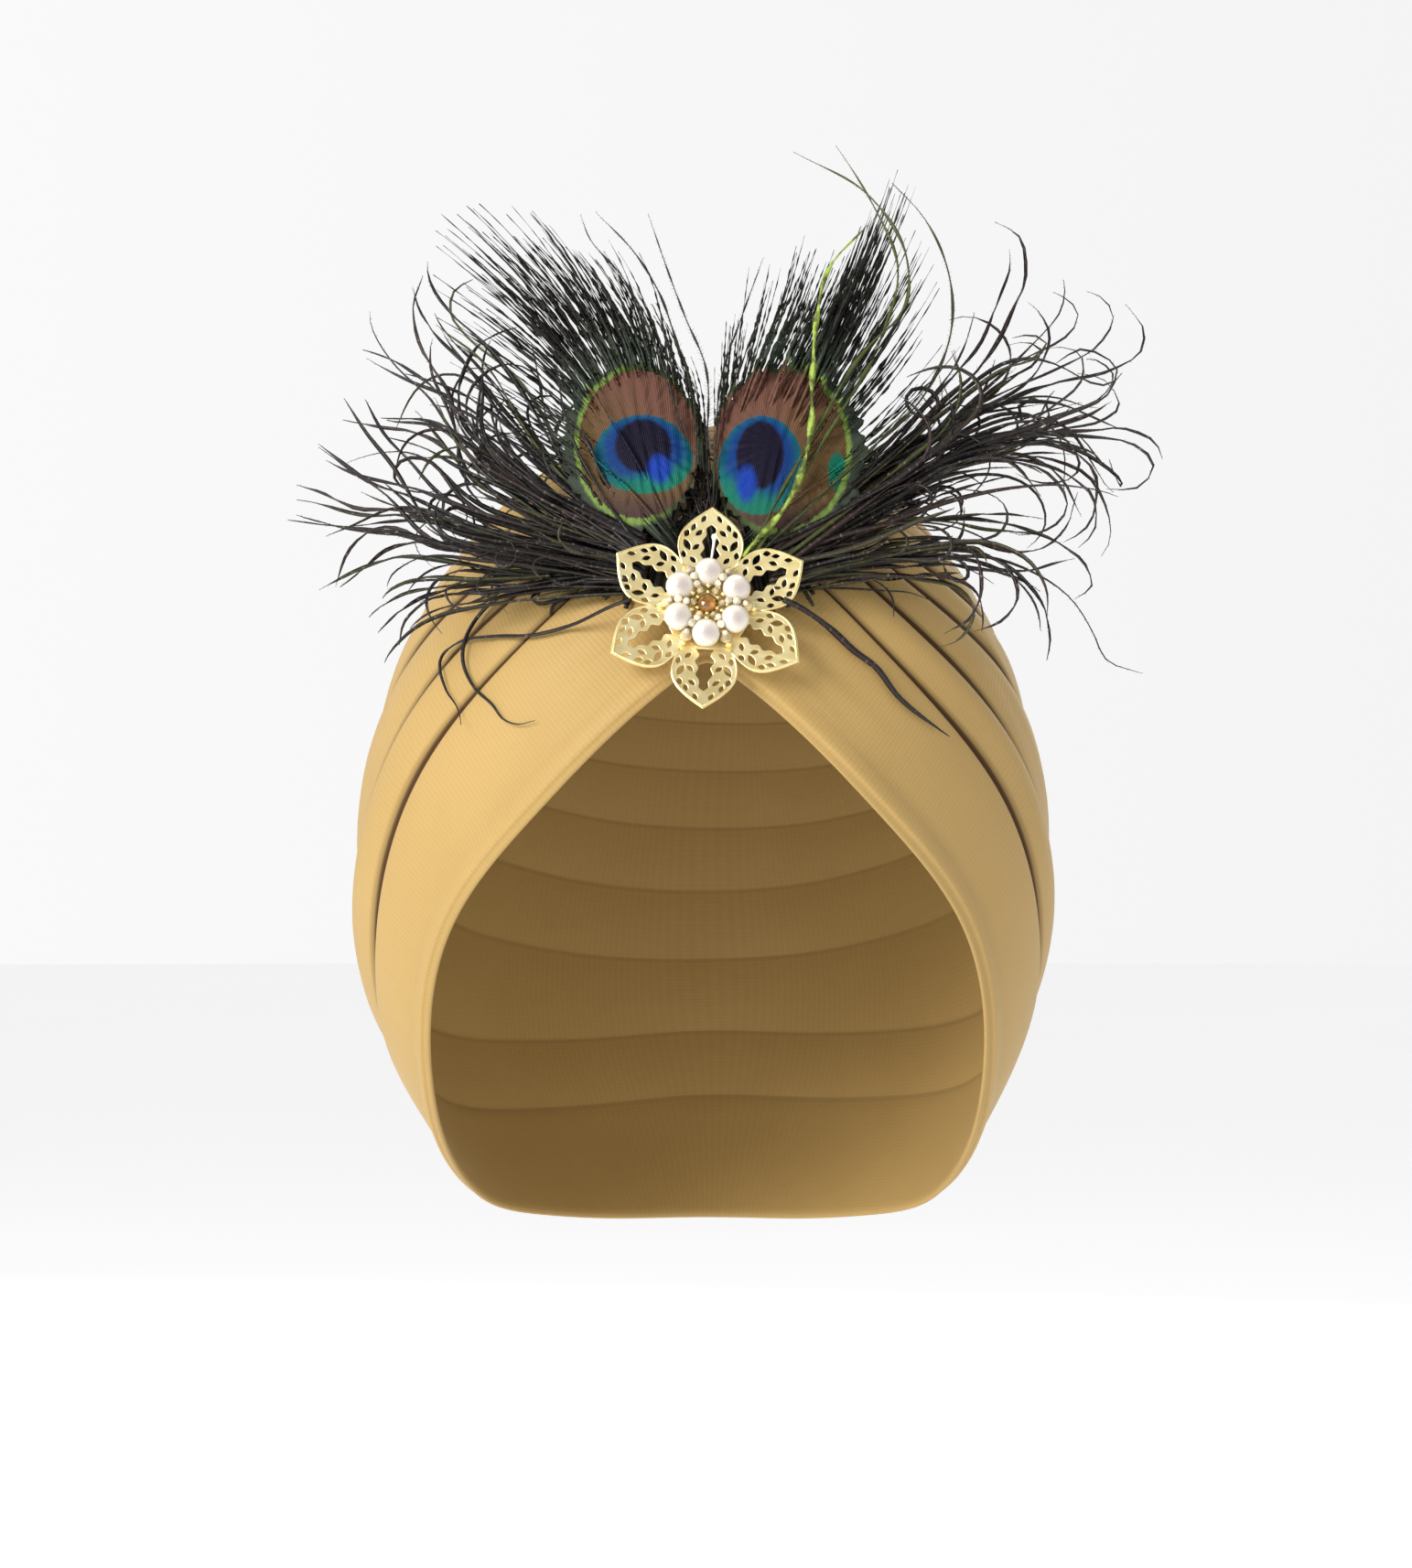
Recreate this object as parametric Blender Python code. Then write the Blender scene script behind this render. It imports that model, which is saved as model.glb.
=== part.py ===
"""Pleated turban hat with a feather spray and a pierced flower brooch.

Metres, +Z up. The front faces -Y and +X is the right side as seen from the front.
The origin is the inner top of the crown, where it rests on a head.
"""

import math

import bmesh
import bpy
import numpy as np
from mathutils import Matrix, Vector

MM = 0.001
GAP = 0.3 * MM

# The head that the cap fits, as an egg with its top at the origin
HEAD_HALF_WIDTH = 80 * MM
HEAD_HALF_DEPTH = 98 * MM
HEAD_HALF_HEIGHT = 120 * MM

# The cloth
CLOTH_WALL = 1.8 * MM
EASE = 0.5 * MM
FULLNESS_RIGHT = 5.5 * MM
FULLNESS_LEFT = 7.5 * MM
FULLNESS_BACK = 4.5 * MM
FOLD_RISE = 2.6 * MM
HEM_RISE = 0.9 * MM
CROWN_TILT = 25.0
CAP_AROUND = 44

# Angle round the cap from the front, and the opening's distance from the top of the crown, in degrees
RIM_ROWS = (
    (0, 84.0),
    (30, 98.8),
    (60, 107.8),
    (90, 119.2),
    (120, 121.0),
    (150, 114.5),
    (180, 110.0),
)

# Where each fold's upper edge lies, as a share of the way from the opening to the top of the crown,
# and its rise as a share of FOLD_RISE
FOLD_TURNS = (0, 35, 85, 180)
FOLD_ROWS = (
    # front, right quarter, right side, left quarter, left side, back, rise
    (0.285, 0.180, 0.155, 0.195, 0.130, 0.170, 0.50),
    (0.365, 0.255, 0.235, 0.280, 0.220, 0.250, 1.00),
    (0.440, 0.325, 0.365, 0.360, 0.355, 0.330, 1.00),
    (0.510, 0.385, 0.440, 0.435, 0.440, 0.410, 0.95),
    (0.575, 0.445, 0.490, 0.505, 0.510, 0.485, 0.90),
    (0.635, 0.505, 0.540, 0.570, 0.570, 0.555, 0.85),
    (0.690, 0.560, 0.590, 0.630, 0.630, 0.615, 0.80),
    (0.740, 0.615, 0.640, 0.690, 0.685, 0.675, 0.70),
)
# Share of the way across a fold, and share of the fold's rise there
FOLD_PROFILE = ((0.0, 0.0), (0.25, 0.5), (0.6, 0.85), (0.88, 1.0))
# Share of the way across the lowest band, share of HEM_RISE and share of the band's own rise
BAND_PROFILE = (
    (0.0, 0.2, 0.0),
    (0.04, 0.9, 0.0),
    (0.14, 1.0, 0.0),
    (0.19, 0.2, 0.3),
    (0.55, 0.2, 0.7),
    (0.9, 0.0, 1.0),
)
CROWN_STEPS = (0.0, 0.2, 0.42, 0.64, 0.85)
INNER_STEPS = (0.0, 0.1, 0.22, 0.35, 0.48, 0.61, 0.74, 0.88)
GATHER_TURN = 5.0
GATHER_FLAT = 0.5
# Share of the band's rise at the places where the brooch and the feathers sit on it
BAND_SEAT = 0.5

# The brooch
BROOCH_SHARE = 0.052
BROOCH_TILT = 20.0
BROOCH_ROLL = 2.7
BROOCH_STAND_OFF = 6.3 * MM
PETAL_COUNT = 6
PETAL_REACH = 26.7 * MM
PLATE_THICKNESS = 0.8 * MM
PEARL_DIAMETER = 7.0 * MM
PEARL_RING = 8.1 * MM
PEARL_SEGMENTS = 10
PEARL_RINGS = 7
STONE_RADIUS = 2.7 * MM
STONE_FACETS = 8
CUP_RADIUS = 3.3 * MM
CUP_HEIGHT = 2.4 * MM
CLAW_COUNT = 6
CLAW_RADIUS = 0.45 * MM
POST_RADIUS = 2.0 * MM

# One half of a petal's edge, from the notch beside it to its tip, as shares of PETAL_REACH
PETAL_EDGE = (
    # out, across
    (0.425, 0.245),
    (0.53, 0.287),
    (0.66, 0.304),
    (0.76, 0.270),
    (0.86, 0.185),
    (0.94, 0.085),
    (1.0, 0.0),
)
# One half of the scalloped opening down the middle of a petal, as shares of PETAL_REACH
PETAL_OPENING = (
    (0.40, 0.0),
    (0.41, 0.085),
    (0.47, 0.055),
    (0.53, 0.095),
    (0.60, 0.060),
    (0.66, 0.085),
    (0.73, 0.045),
    (0.79, 0.050),
    (0.835, 0.0),
)
# The slits beside it, as shares of PETAL_REACH, each turned by its lean in degrees from the petal's line
PETAL_SLITS = (
    # out, across, length, width, lean, corners
    (0.885, 0.072, 0.075, 0.028, -30, 4),
    (0.800, 0.165, 0.068, 0.030, -22, 4),
    (0.745, 0.228, 0.064, 0.042, -20, 4),
    (0.745, 0.108, 0.082, 0.036, -48, 4),
    (0.625, 0.215, 0.120, 0.044, 30, 6),
    (0.605, 0.125, 0.082, 0.036, -48, 4),
    (0.535, 0.248, 0.070, 0.034, 12, 4),
    (0.475, 0.150, 0.086, 0.034, 45, 4),
)

# The feathers: the fan's plane leaves the cloth at a share of the way up and stands forward of it
FAN_REACH = 110 * MM
FAN_LEAN = 27.0
FAN_FOOT = 0.09
FAN_FORWARD = 5.5 * MM
HEAD_SEGMENTS = 10
HEAD_RINGS = 6
LOCK_STEPS = 5
HERL_THICK = 1.6 * MM
HERL_WIDE = 6.4 * MM
FLUE_WIDE = 8.5 * MM
FLUE_THICK = 1.4 * MM
CURL_WIDE = 2.6 * MM
# Share of the way along a lock, and share of its width and thickness there
LOCK_PROFILE = ((0.0, 0.55), (0.35, 1.0), (0.7, 0.62), (1.0, 0.18))
HERL_HEAD = (5.6 * MM, 6.0 * MM, 2.1 * MM)
HERL_SEAT = (0.175, 10.8)
EYE_HEAD = (3.3 * MM, 6.0 * MM, 1.7 * MM)
EYE_SEAT = (0.175, 3.4)
EYE_OUT = 3.0 * MM
EYE_THICK = 1.1 * MM

# Locks as they stand from the root: points (side, up) as shares of FAN_REACH, then the tip's depth
# in front of the fan, as a share of FAN_REACH
HERL_LEFT = (
    (((-0.32, 0.035), (-0.58, 0.03), (-0.70, -0.08)), -0.02),
    (((-0.48, 0.07), (-0.95, 0.15)), -0.06),
    (((-0.45, 0.17), (-0.70, 0.26), (-0.95, 0.36)), -0.14),
    (((-0.38, 0.10), (-0.61, 0.13), (-0.72, 0.30), (-0.83, 0.46)), -0.09),
    (((-0.32, 0.21), (-0.59, 0.45), (-0.79, 0.58)), -0.16),
    (((-0.30, 0.24), (-0.56, 0.36), (-0.59, 0.56), (-0.50, 0.65)), -0.07),
    (((-0.30, 0.27), (-0.56, 0.43), (-0.67, 0.63), (-0.66, 0.82)), -0.12),
    (((-0.29, 0.31), (-0.56, 0.62), (-0.69, 0.85)), -0.18),
    (((-0.32, -0.02), (-0.48, -0.03), (-0.56, -0.16), (-0.49, -0.30)), -0.10),
)
HERL_RIGHT = (
    (((0.34, 0.04), (0.67, 0.09), (0.83, -0.01), (0.98, -0.18)), -0.05),
    (((0.34, 0.12), (0.55, 0.19), (0.80, 0.13), (0.83, -0.01)), -0.10),
    (((0.35, 0.20), (0.65, 0.37), (0.86, 0.31), (0.81, 0.15)), -0.15),
    (((0.36, 0.25), (0.65, 0.39), (0.89, 0.39), (1.02, 0.33)), -0.08),
    (((0.33, 0.25), (0.60, 0.36), (0.81, 0.43), (0.93, 0.55)), -0.16),
    (((0.33, 0.27), (0.69, 0.52), (0.95, 0.64), (1.01, 0.80)), -0.10),
    (((0.34, 0.31), (0.64, 0.60), (0.74, 0.83), (0.67, 0.97)), -0.18),
    (((0.21, -0.05), (0.38, -0.20), (0.54, -0.36)), -0.15),
)
EYE_LEFT = (
    (((-0.24, 0.45), (-0.40, 0.70), (-0.58, 0.94)), 0.00),
    (((-0.22, 0.50), (-0.36, 0.75), (-0.49, 0.98)), 0.04),
    (((-0.20, 0.52), (-0.30, 0.76), (-0.40, 0.97)), -0.02),
    (((-0.17, 0.54), (-0.22, 0.78), (-0.28, 0.99)), 0.03),
    (((-0.14, 0.53), (-0.13, 0.78), (-0.15, 0.99)), -0.03),
    (((-0.11, 0.50), (-0.07, 0.68), (-0.05, 0.83)), 0.02),
)
EYE_RIGHT = (
    (((0.12, 0.50), (0.06, 0.63), (0.03, 0.76)), 0.02),
    (((0.15, 0.52), (0.14, 0.70), (0.16, 0.87)), -0.03),
    (((0.18, 0.52), (0.21, 0.70), (0.25, 0.90)), 0.03),
    (((0.21, 0.50), (0.29, 0.75), (0.40, 1.07)), -0.02),
    (((0.24, 0.46), (0.37, 0.58), (0.50, 0.70)), 0.01),
    (((0.13, 0.26), (0.37, 0.59), (0.46, 0.78), (0.35, 1.0), (0.20, 1.10)), 0.12),
    (((0.18, 0.25), (0.42, 0.44), (0.55, 0.66), (0.43, 1.04)), 0.08),
)
# Centre (side, up) and half sizes of each eye, as shares of FAN_REACH
EYE_SPOT = (0.166, 0.36)
EYE_HALF = (0.148, 0.235)


def clear_scene():
    for thing in list(bpy.data.objects):
        bpy.data.objects.remove(thing, do_unlink=True)


def new_collection(name):
    found = bpy.data.collections.new(name)
    bpy.context.scene.collection.children.link(found)
    return found


def finish(name, colour, roughness, metallic=0.0):
    """A Principled material of one colour."""
    made = bpy.data.materials.new(name)
    made.use_nodes = True
    shader = made.node_tree.nodes["Principled BSDF"]
    shader.inputs["Base Color"].default_value = (*colour, 1.0)
    shader.inputs["Roughness"].default_value = roughness
    shader.inputs["Metallic"].default_value = metallic
    return made


def smooth_through(stops, values, where):
    """A cubic through the stops, whose slope at each one comes from its neighbours."""
    stops = np.asarray(stops, float)
    values = np.asarray(values, float)
    slopes = np.gradient(values, stops, axis=0)
    at = np.clip(np.searchsorted(stops, where, side="right") - 1, 0, len(stops) - 2)
    wide = stops[at + 1] - stops[at]
    t = (where - stops[at]) / wide
    if values.ndim > 1:
        wide = wide[..., None]
        t = t[..., None]
    return (
        (2 * t**3 - 3 * t**2 + 1) * values[at]
        + (t**3 - 2 * t**2 + t) * wide * slopes[at]
        + (3 * t**2 - 2 * t**3) * values[at + 1]
        + (t**3 - t**2) * wide * slopes[at + 1]
    )


def fold_edge(row, turn):
    """Share of the way up the cap of one fold's upper edge, at angles round it from -180 to 180."""
    front, right_quarter, right_side, left_quarter, left_side, back = row[:6]
    right = smooth_through(FOLD_TURNS, (front, right_quarter, right_side, back), np.abs(turn))
    left = smooth_through(FOLD_TURNS, (front, left_quarter, left_side, back), np.abs(turn))
    return np.where(turn >= 0, right, left)


def cap_point(share, turn, rise):
    """A point on the cap. The share runs from the opening to the top of the crown, the turn is the
    angle round the cap from the front, and the rise is the height over the inner side of the cloth."""
    stops, distances = zip(*RIM_ROWS)
    away = np.radians(smooth_through(stops, distances, np.abs(turn)) * (1 - share))
    turn = np.radians(turn)
    tilt = math.radians(CROWN_TILT)
    aside = np.sin(away) * np.sin(turn)
    ahead = np.sin(away) * np.cos(turn)
    along = np.cos(away)
    egg = np.stack(
        [
            aside,
            along * math.sin(tilt) - ahead * math.cos(tilt),
            along * math.cos(tilt) + ahead * math.sin(tilt),
        ],
        axis=-1,
    )
    half = np.array([HEAD_HALF_WIDTH, HEAD_HALF_DEPTH, HEAD_HALF_HEIGHT])
    outward = egg / half
    outward /= np.linalg.norm(outward, axis=-1, keepdims=True)
    hold = np.clip(share / 0.22, 0, 1)
    hold = hold * hold * (3 - 2 * hold)
    side = np.where(aside > 0, FULLNESS_RIGHT, FULLNESS_LEFT)
    stand = EASE + hold * side * np.abs(aside) ** 1.3
    stand += hold * FULLNESS_BACK * np.clip(egg[..., 1], 0, 1) ** 1.3
    base = egg * half - np.array([0, 0, HEAD_HALF_HEIGHT])
    return base + outward * (stand + rise)[..., None]


def ring_rows():
    """The cap's rings, from the inner top of the crown down inside, round the hem and up outside.
    Each is its shares of the way up and its rises, all the way round."""
    turn = np.arange(CAP_AROUND) * 360.0 / CAP_AROUND - 180.0
    level = np.zeros(CAP_AROUND)
    edges = [level] + [fold_edge(row, turn) for row in FOLD_ROWS]
    pressed = 1 - GATHER_FLAT * np.exp(-((turn / GATHER_TURN) ** 2))
    rows = [(level + step, level) for step in reversed(INNER_STEPS)]
    rows.append((level - 0.012, level + CLOTH_WALL * 0.5))
    for step, hem, rise in BAND_PROFILE:
        height = CLOTH_WALL + hem * HEM_RISE + rise * FOLD_ROWS[0][6] * FOLD_RISE
        rows.append((edges[1] * step, level + height))
    for below, above, row in zip(edges[1:-1], edges[2:], FOLD_ROWS[1:]):
        for step, height in FOLD_PROFILE:
            share = below + (above - below) * step
            rows.append((share, CLOTH_WALL + height * row[6] * FOLD_RISE * pressed))
    last = FOLD_ROWS[-1][6] * FOLD_RISE
    for step in CROWN_STEPS:
        share = edges[-1] + (1 - edges[-1]) * step
        rows.append((share, level + CLOTH_WALL + last * (0.2 + 0.6 * min(1, step * 3))))
    return turn, rows


def loft(name, rings, low_point=None, high_point=None):
    """A closed body through rings of points, closed at each end by a point or by one face."""
    shape = bmesh.new()
    rows = [[shape.verts.new(point) for point in ring] for ring in rings]
    count = len(rows[0])
    for below, above in zip(rows[:-1], rows[1:]):
        for i in range(count):
            j = (i + 1) % count
            shape.faces.new((below[i], below[j], above[j], above[i]))
    for ring, point in ((rows[0], low_point), (rows[-1], high_point)):
        if point is None:
            shape.faces.new(ring)
            continue
        top = shape.verts.new(point)
        for i in range(count):
            shape.faces.new((ring[i], ring[(i + 1) % count], top))
    bmesh.ops.recalc_face_normals(shape, faces=shape.faces)
    mesh = bpy.data.meshes.new(name)
    shape.to_mesh(mesh)
    shape.free()
    return mesh


def add(name, mesh, material, collection, place=None, smooth=None):
    mesh.materials.clear()
    mesh.materials.append(material)
    made = bpy.data.objects.new(name, mesh)
    if place is not None:
        made.matrix_world = place
    if smooth is not None:
        mesh.shade_smooth()
        mesh.set_sharp_from_angle(angle=math.radians(smooth))
    collection.objects.link(made)
    return made


def turban_cap(parts, cloth):
    """The wrapped cloth: smooth inside, with overlapping folds outside and a turned hem."""
    turn, rows = ring_rows()
    rings = [cap_point(share, turn, rise) for share, rise in rows]
    one = np.ones(1)
    inside = cap_point(one, one * 0, one * 0)[0]
    top_rise = CLOTH_WALL + FOLD_ROWS[-1][6] * FOLD_RISE * 0.8
    outside = cap_point(one, one * 0, one * top_rise)[0]
    mesh = loft("turban_cap", rings, inside, outside)
    return add("turban_cap", mesh, cloth, parts, smooth=35)


def on_cloth(share, turn):
    """A point on the outside of the cloth band, and the direction that faces out of it."""
    at = np.array([share, share, share + 0.01])
    round_it = np.array([turn, turn + 1.0, turn])
    rise = CLOTH_WALL + BAND_SEAT * FOLD_ROWS[0][6] * FOLD_RISE
    first, beside, above = cap_point(at, round_it, np.full(3, rise))
    outward = Vector(np.cross(beside - first, above - first)).normalized()
    if outward.y > 0:
        outward = -outward
    return Vector(first), outward


def brooch_place():
    """The middle of the back of the brooch's plate: X along it, Y up it and Z facing out."""
    seat, _ = on_cloth(BROOCH_SHARE, 0.0)
    tilt = math.radians(BROOCH_TILT)
    facing = Vector((0, -math.cos(tilt), math.sin(tilt)))
    upward = Vector((0, math.sin(tilt), math.cos(tilt)))
    basis = Matrix((Vector((1, 0, 0)), upward, facing)).transposed()
    roll = Matrix.Rotation(math.radians(-BROOCH_ROLL), 3, "Z")
    middle = seat + facing * BROOCH_STAND_OFF
    return Matrix.Translation(middle) @ (basis @ roll).to_4x4()


def petal_point(out, across, petal):
    """A point given along and across a petal, in the plate's own plane."""
    angle = math.radians(90 - petal * 360 / PETAL_COUNT)
    x = out * math.cos(angle) + across * math.sin(angle)
    y = out * math.sin(angle) - across * math.cos(angle)
    return (x * PETAL_REACH, y * PETAL_REACH)


def both_sides(half):
    """A mirrored outline from one half of it that starts and ends on the petal's line."""
    return [(out, across) for out, across in half] + [(out, -across) for out, across in half[-2:0:-1]]


def slit(row, side):
    """A pointed slit of four or six corners on one side of the petal's line."""
    out, across, length, width, lean, corners = row
    lean = math.radians(lean)
    inner = 0.22
    if corners == 4:
        outline = ((0.5, 0), (0, 0.5), (-0.5, 0), (0, -0.5))
    else:
        outline = ((0.5, 0), (inner, 0.5), (-inner, 0.5), (-0.5, 0), (-inner, -0.5), (inner, -0.5))
    found = []
    for u, v in outline:
        u *= length
        v *= width
        along = out + u * math.cos(lean) - v * math.sin(lean)
        aside = across + u * math.sin(lean) + v * math.cos(lean)
        found.append((along, aside * side))
    return found


def add_outline(curve, points):
    spline = curve.splines.new("POLY")
    spline.points.add(len(points) - 1)
    for target, (x, y) in zip(spline.points, points):
        target.co = (x, y, 0, 1)
    spline.use_cyclic_u = True


def brooch_filigree(parts, gold):
    """The six-petalled plate, pierced through with its leaf slits and middle openings."""
    curve = bpy.data.curves.new("brooch_filigree", "CURVE")
    curve.dimensions = "2D"
    curve.fill_mode = "BOTH"
    curve.extrude = PLATE_THICKNESS / 2
    edge = []
    for petal in range(PETAL_COUNT):
        edge += [petal_point(out, -across, petal) for out, across in PETAL_EDGE]
        edge += [petal_point(out, across, petal) for out, across in PETAL_EDGE[-2:0:-1]]
    add_outline(curve, edge)
    for petal in range(PETAL_COUNT):
        add_outline(curve, [petal_point(*point, petal) for point in both_sides(PETAL_OPENING)])
        for row in PETAL_SLITS:
            for side in (-1, 1):
                add_outline(curve, [petal_point(*point, petal) for point in slit(row, side)])
    curve.materials.append(gold)
    plate = bpy.data.objects.new("brooch_filigree", curve)
    plate.matrix_world = brooch_place() @ Matrix.Translation((0, 0, PLATE_THICKNESS / 2))
    parts.objects.link(plate)


def pearls(parts, pearl):
    """Six pearls in a ring on the plate."""
    shape = bmesh.new()
    bmesh.ops.create_uvsphere(
        shape, u_segments=PEARL_SEGMENTS, v_segments=PEARL_RINGS, radius=PEARL_DIAMETER / 2
    )
    mesh = bpy.data.meshes.new("pearl")
    shape.to_mesh(mesh)
    shape.free()
    height = PLATE_THICKNESS + GAP + PEARL_DIAMETER / 2
    for i in range(PETAL_COUNT):
        angle = math.radians(90 - i * 360 / PETAL_COUNT)
        spot = Vector((math.cos(angle) * PEARL_RING, math.sin(angle) * PEARL_RING, height))
        place = brooch_place() @ Matrix.Translation(spot)
        add("pearl_%d" % (i + 1), mesh, pearl, parts, place, smooth=60)


def disc_ring(radius, height, count, start=0.0):
    turns = [math.radians(start) + i * math.tau / count for i in range(count)]
    return [(math.cos(a) * radius, math.sin(a) * radius, height) for a in turns]


def crystal_setting(parts, cutters, amber):
    """The faceted stone, with its table and two rows of facets, in a cup with claws: one body."""
    base = PLATE_THICKNESS + GAP
    girdle = base + CUP_HEIGHT
    turn = 180 / STONE_FACETS
    stone = loft(
        "stone",
        (
            disc_ring(STONE_RADIUS * 0.35, base + CUP_HEIGHT * 0.2, STONE_FACETS, turn),
            disc_ring(STONE_RADIUS, girdle, STONE_FACETS),
            disc_ring(STONE_RADIUS * 0.82, girdle + STONE_RADIUS * 0.35, STONE_FACETS, turn),
            disc_ring(STONE_RADIUS * 0.52, girdle + STONE_RADIUS * 0.55, STONE_FACETS),
        ),
    )
    cup = loft(
        "crystal_setting",
        (
            disc_ring(CUP_RADIUS * 0.75, base, 2 * STONE_FACETS),
            disc_ring(CUP_RADIUS, base + CUP_HEIGHT * 0.6, 2 * STONE_FACETS),
            disc_ring(CUP_RADIUS * 0.97, girdle - STONE_RADIUS * 0.1, 2 * STONE_FACETS),
        ),
    )
    place = brooch_place()
    body = add("crystal_setting", cup, amber, parts, place, smooth=30)
    helpers = [add("stone", stone, amber, cutters, place)]
    for i in range(CLAW_COUNT):
        angle = math.radians(30 + i * 360 / CLAW_COUNT)
        spot = Vector((math.cos(angle), math.sin(angle), 0)) * (STONE_RADIUS + CLAW_RADIUS * 0.3)
        spot.z = girdle
        shape = bmesh.new()
        bmesh.ops.create_cone(
            shape,
            cap_ends=True,
            segments=5,
            radius1=CLAW_RADIUS * 1.2,
            radius2=CLAW_RADIUS * 0.8,
            depth=STONE_RADIUS * 0.9,
        )
        claw = bpy.data.meshes.new("claw")
        shape.to_mesh(claw)
        shape.free()
        spun = Matrix.Translation(spot) @ Matrix.Rotation(angle + 0.2, 4, "Z")
        helpers.append(add("claw_%d" % i, claw, amber, cutters, place @ spun))
    fuse(body, helpers)


def brooch_post(parts, steel):
    """The plain pin behind the brooch, from the cloth to the plate."""
    place = brooch_place()
    _, outward = on_cloth(BROOCH_SHARE, 0.0)
    slant = POST_RADIUS * math.tan(outward.angle(place.to_3x3() @ Vector((0, 0, 1))))
    length = BROOCH_STAND_OFF - 2 * GAP - slant
    shape = bmesh.new()
    bmesh.ops.create_cone(
        shape, cap_ends=True, segments=12, radius1=POST_RADIUS, radius2=POST_RADIUS, depth=length
    )
    mesh = bpy.data.meshes.new("brooch_post")
    shape.to_mesh(mesh)
    shape.free()
    back = Matrix.Translation((0, 0, -GAP - length / 2))
    add("brooch_post", mesh, steel, parts, place @ back, smooth=30)


def fuse(body, helpers):
    """Joins the helpers to the body with one union, and leaves them as hidden guides."""
    group = bpy.data.collections.new(body.name + "_pieces")
    bpy.context.scene.collection.children.link(group)
    for helper in helpers:
        for old in list(helper.users_collection):
            old.objects.unlink(helper)
        group.objects.link(helper)
        helper.hide_render = True
        helper.display_type = "WIRE"
    union = body.modifiers.new("union", "BOOLEAN")
    union.operation = "UNION"
    union.solver = "EXACT"
    union.operand_type = "COLLECTION"
    union.collection = group


def fan_axes():
    """The foot of the fan's plane, and its side, up and out directions."""
    foot, _ = on_cloth(FAN_FOOT, 0.0)
    lean = math.radians(FAN_LEAN)
    side = np.array([1.0, 0.0, 0.0])
    up = np.array([0.0, math.sin(lean), math.cos(lean)])
    out = np.array([0.0, -math.cos(lean), math.sin(lean)])
    return np.array(foot) + out * FAN_FORWARD, side, up, out


def lock_rings(points, wide, thick, steps):
    """Flat four-cornered sections along a smooth line through the points, narrowing to the tip."""
    points = np.array(points)
    stops = np.concatenate([[0], np.cumsum(np.linalg.norm(np.diff(points, axis=0), axis=1))])
    where = np.linspace(0, stops[-1], steps + 1)
    line = smooth_through(stops, points, where)
    along = np.gradient(line, axis=0)
    along /= np.linalg.norm(along, axis=1, keepdims=True)
    _, _, _, out = fan_axes()
    across = np.cross(along, out)
    across /= np.linalg.norm(across, axis=1, keepdims=True)
    face = np.cross(across, along)
    size = np.interp(where / stops[-1], *zip(*LOCK_PROFILE))[:, None]
    across *= size * wide / 2
    face *= size * thick / 2
    return np.stack([line + across, line + face, line - across, line - face], axis=1)


def locks(name, table, start, spread, wide, thick, steps, collection, material):
    """One object for each row of a table of locks, which leave one head side by side."""
    root, side, up, out = fan_axes()
    made = []
    for number, (route, tip_out) in enumerate(table):
        shares = np.linspace(0, 1, len(route) + 1)[1:]
        points = [start + spread * (number / max(1, len(table) - 1) - 0.5)]
        for (aside, high), share in zip(route, shares):
            depth = tip_out * share * FAN_REACH
            points.append(root + (aside * side + high * up) * FAN_REACH + out * depth)
        rings = lock_rings(points, wide, thick, steps * max(1, len(route) - 1) // 2 + 2)
        made.append(add("%s_%d" % (name, number), loft(name, rings), material, collection))
    return made


def seated_head(name, seat, half, side, parts, material):
    """A flattened root lying on the cloth, where a bunch of feathers is bound."""
    point, outward = on_cloth(seat[0], side * seat[1])
    across = Vector((0, 0, 1)).cross(outward).normalized()
    upward = outward.cross(across)
    basis = Matrix((across, upward, outward)).transposed().to_4x4()
    shape = bmesh.new()
    bmesh.ops.create_uvsphere(shape, u_segments=HEAD_SEGMENTS, v_segments=HEAD_RINGS, radius=1.0)
    bmesh.ops.scale(shape, vec=half, verts=shape.verts)
    mesh = bpy.data.meshes.new(name)
    shape.to_mesh(mesh)
    shape.free()
    middle = point + outward * (half[2] + GAP)
    body = add(name, mesh, material, parts, Matrix.Translation(middle) @ basis, smooth=50)
    return body, np.array(middle)


def herl_fan(name, table, side, parts, cutters, herl):
    """A bunch of dark side flues: long locks that leave one root in their own directions."""
    body, middle = seated_head(name, HERL_SEAT, HERL_HEAD, side, parts, herl)
    _, aside, up, _ = fan_axes()
    spread = up * HERL_HEAD[1]
    start = middle - aside * side * HERL_HEAD[0] * 0.3
    fuse(body, locks(name, table, start, spread, HERL_WIDE, HERL_THICK, LOCK_STEPS, cutters, herl))


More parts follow.
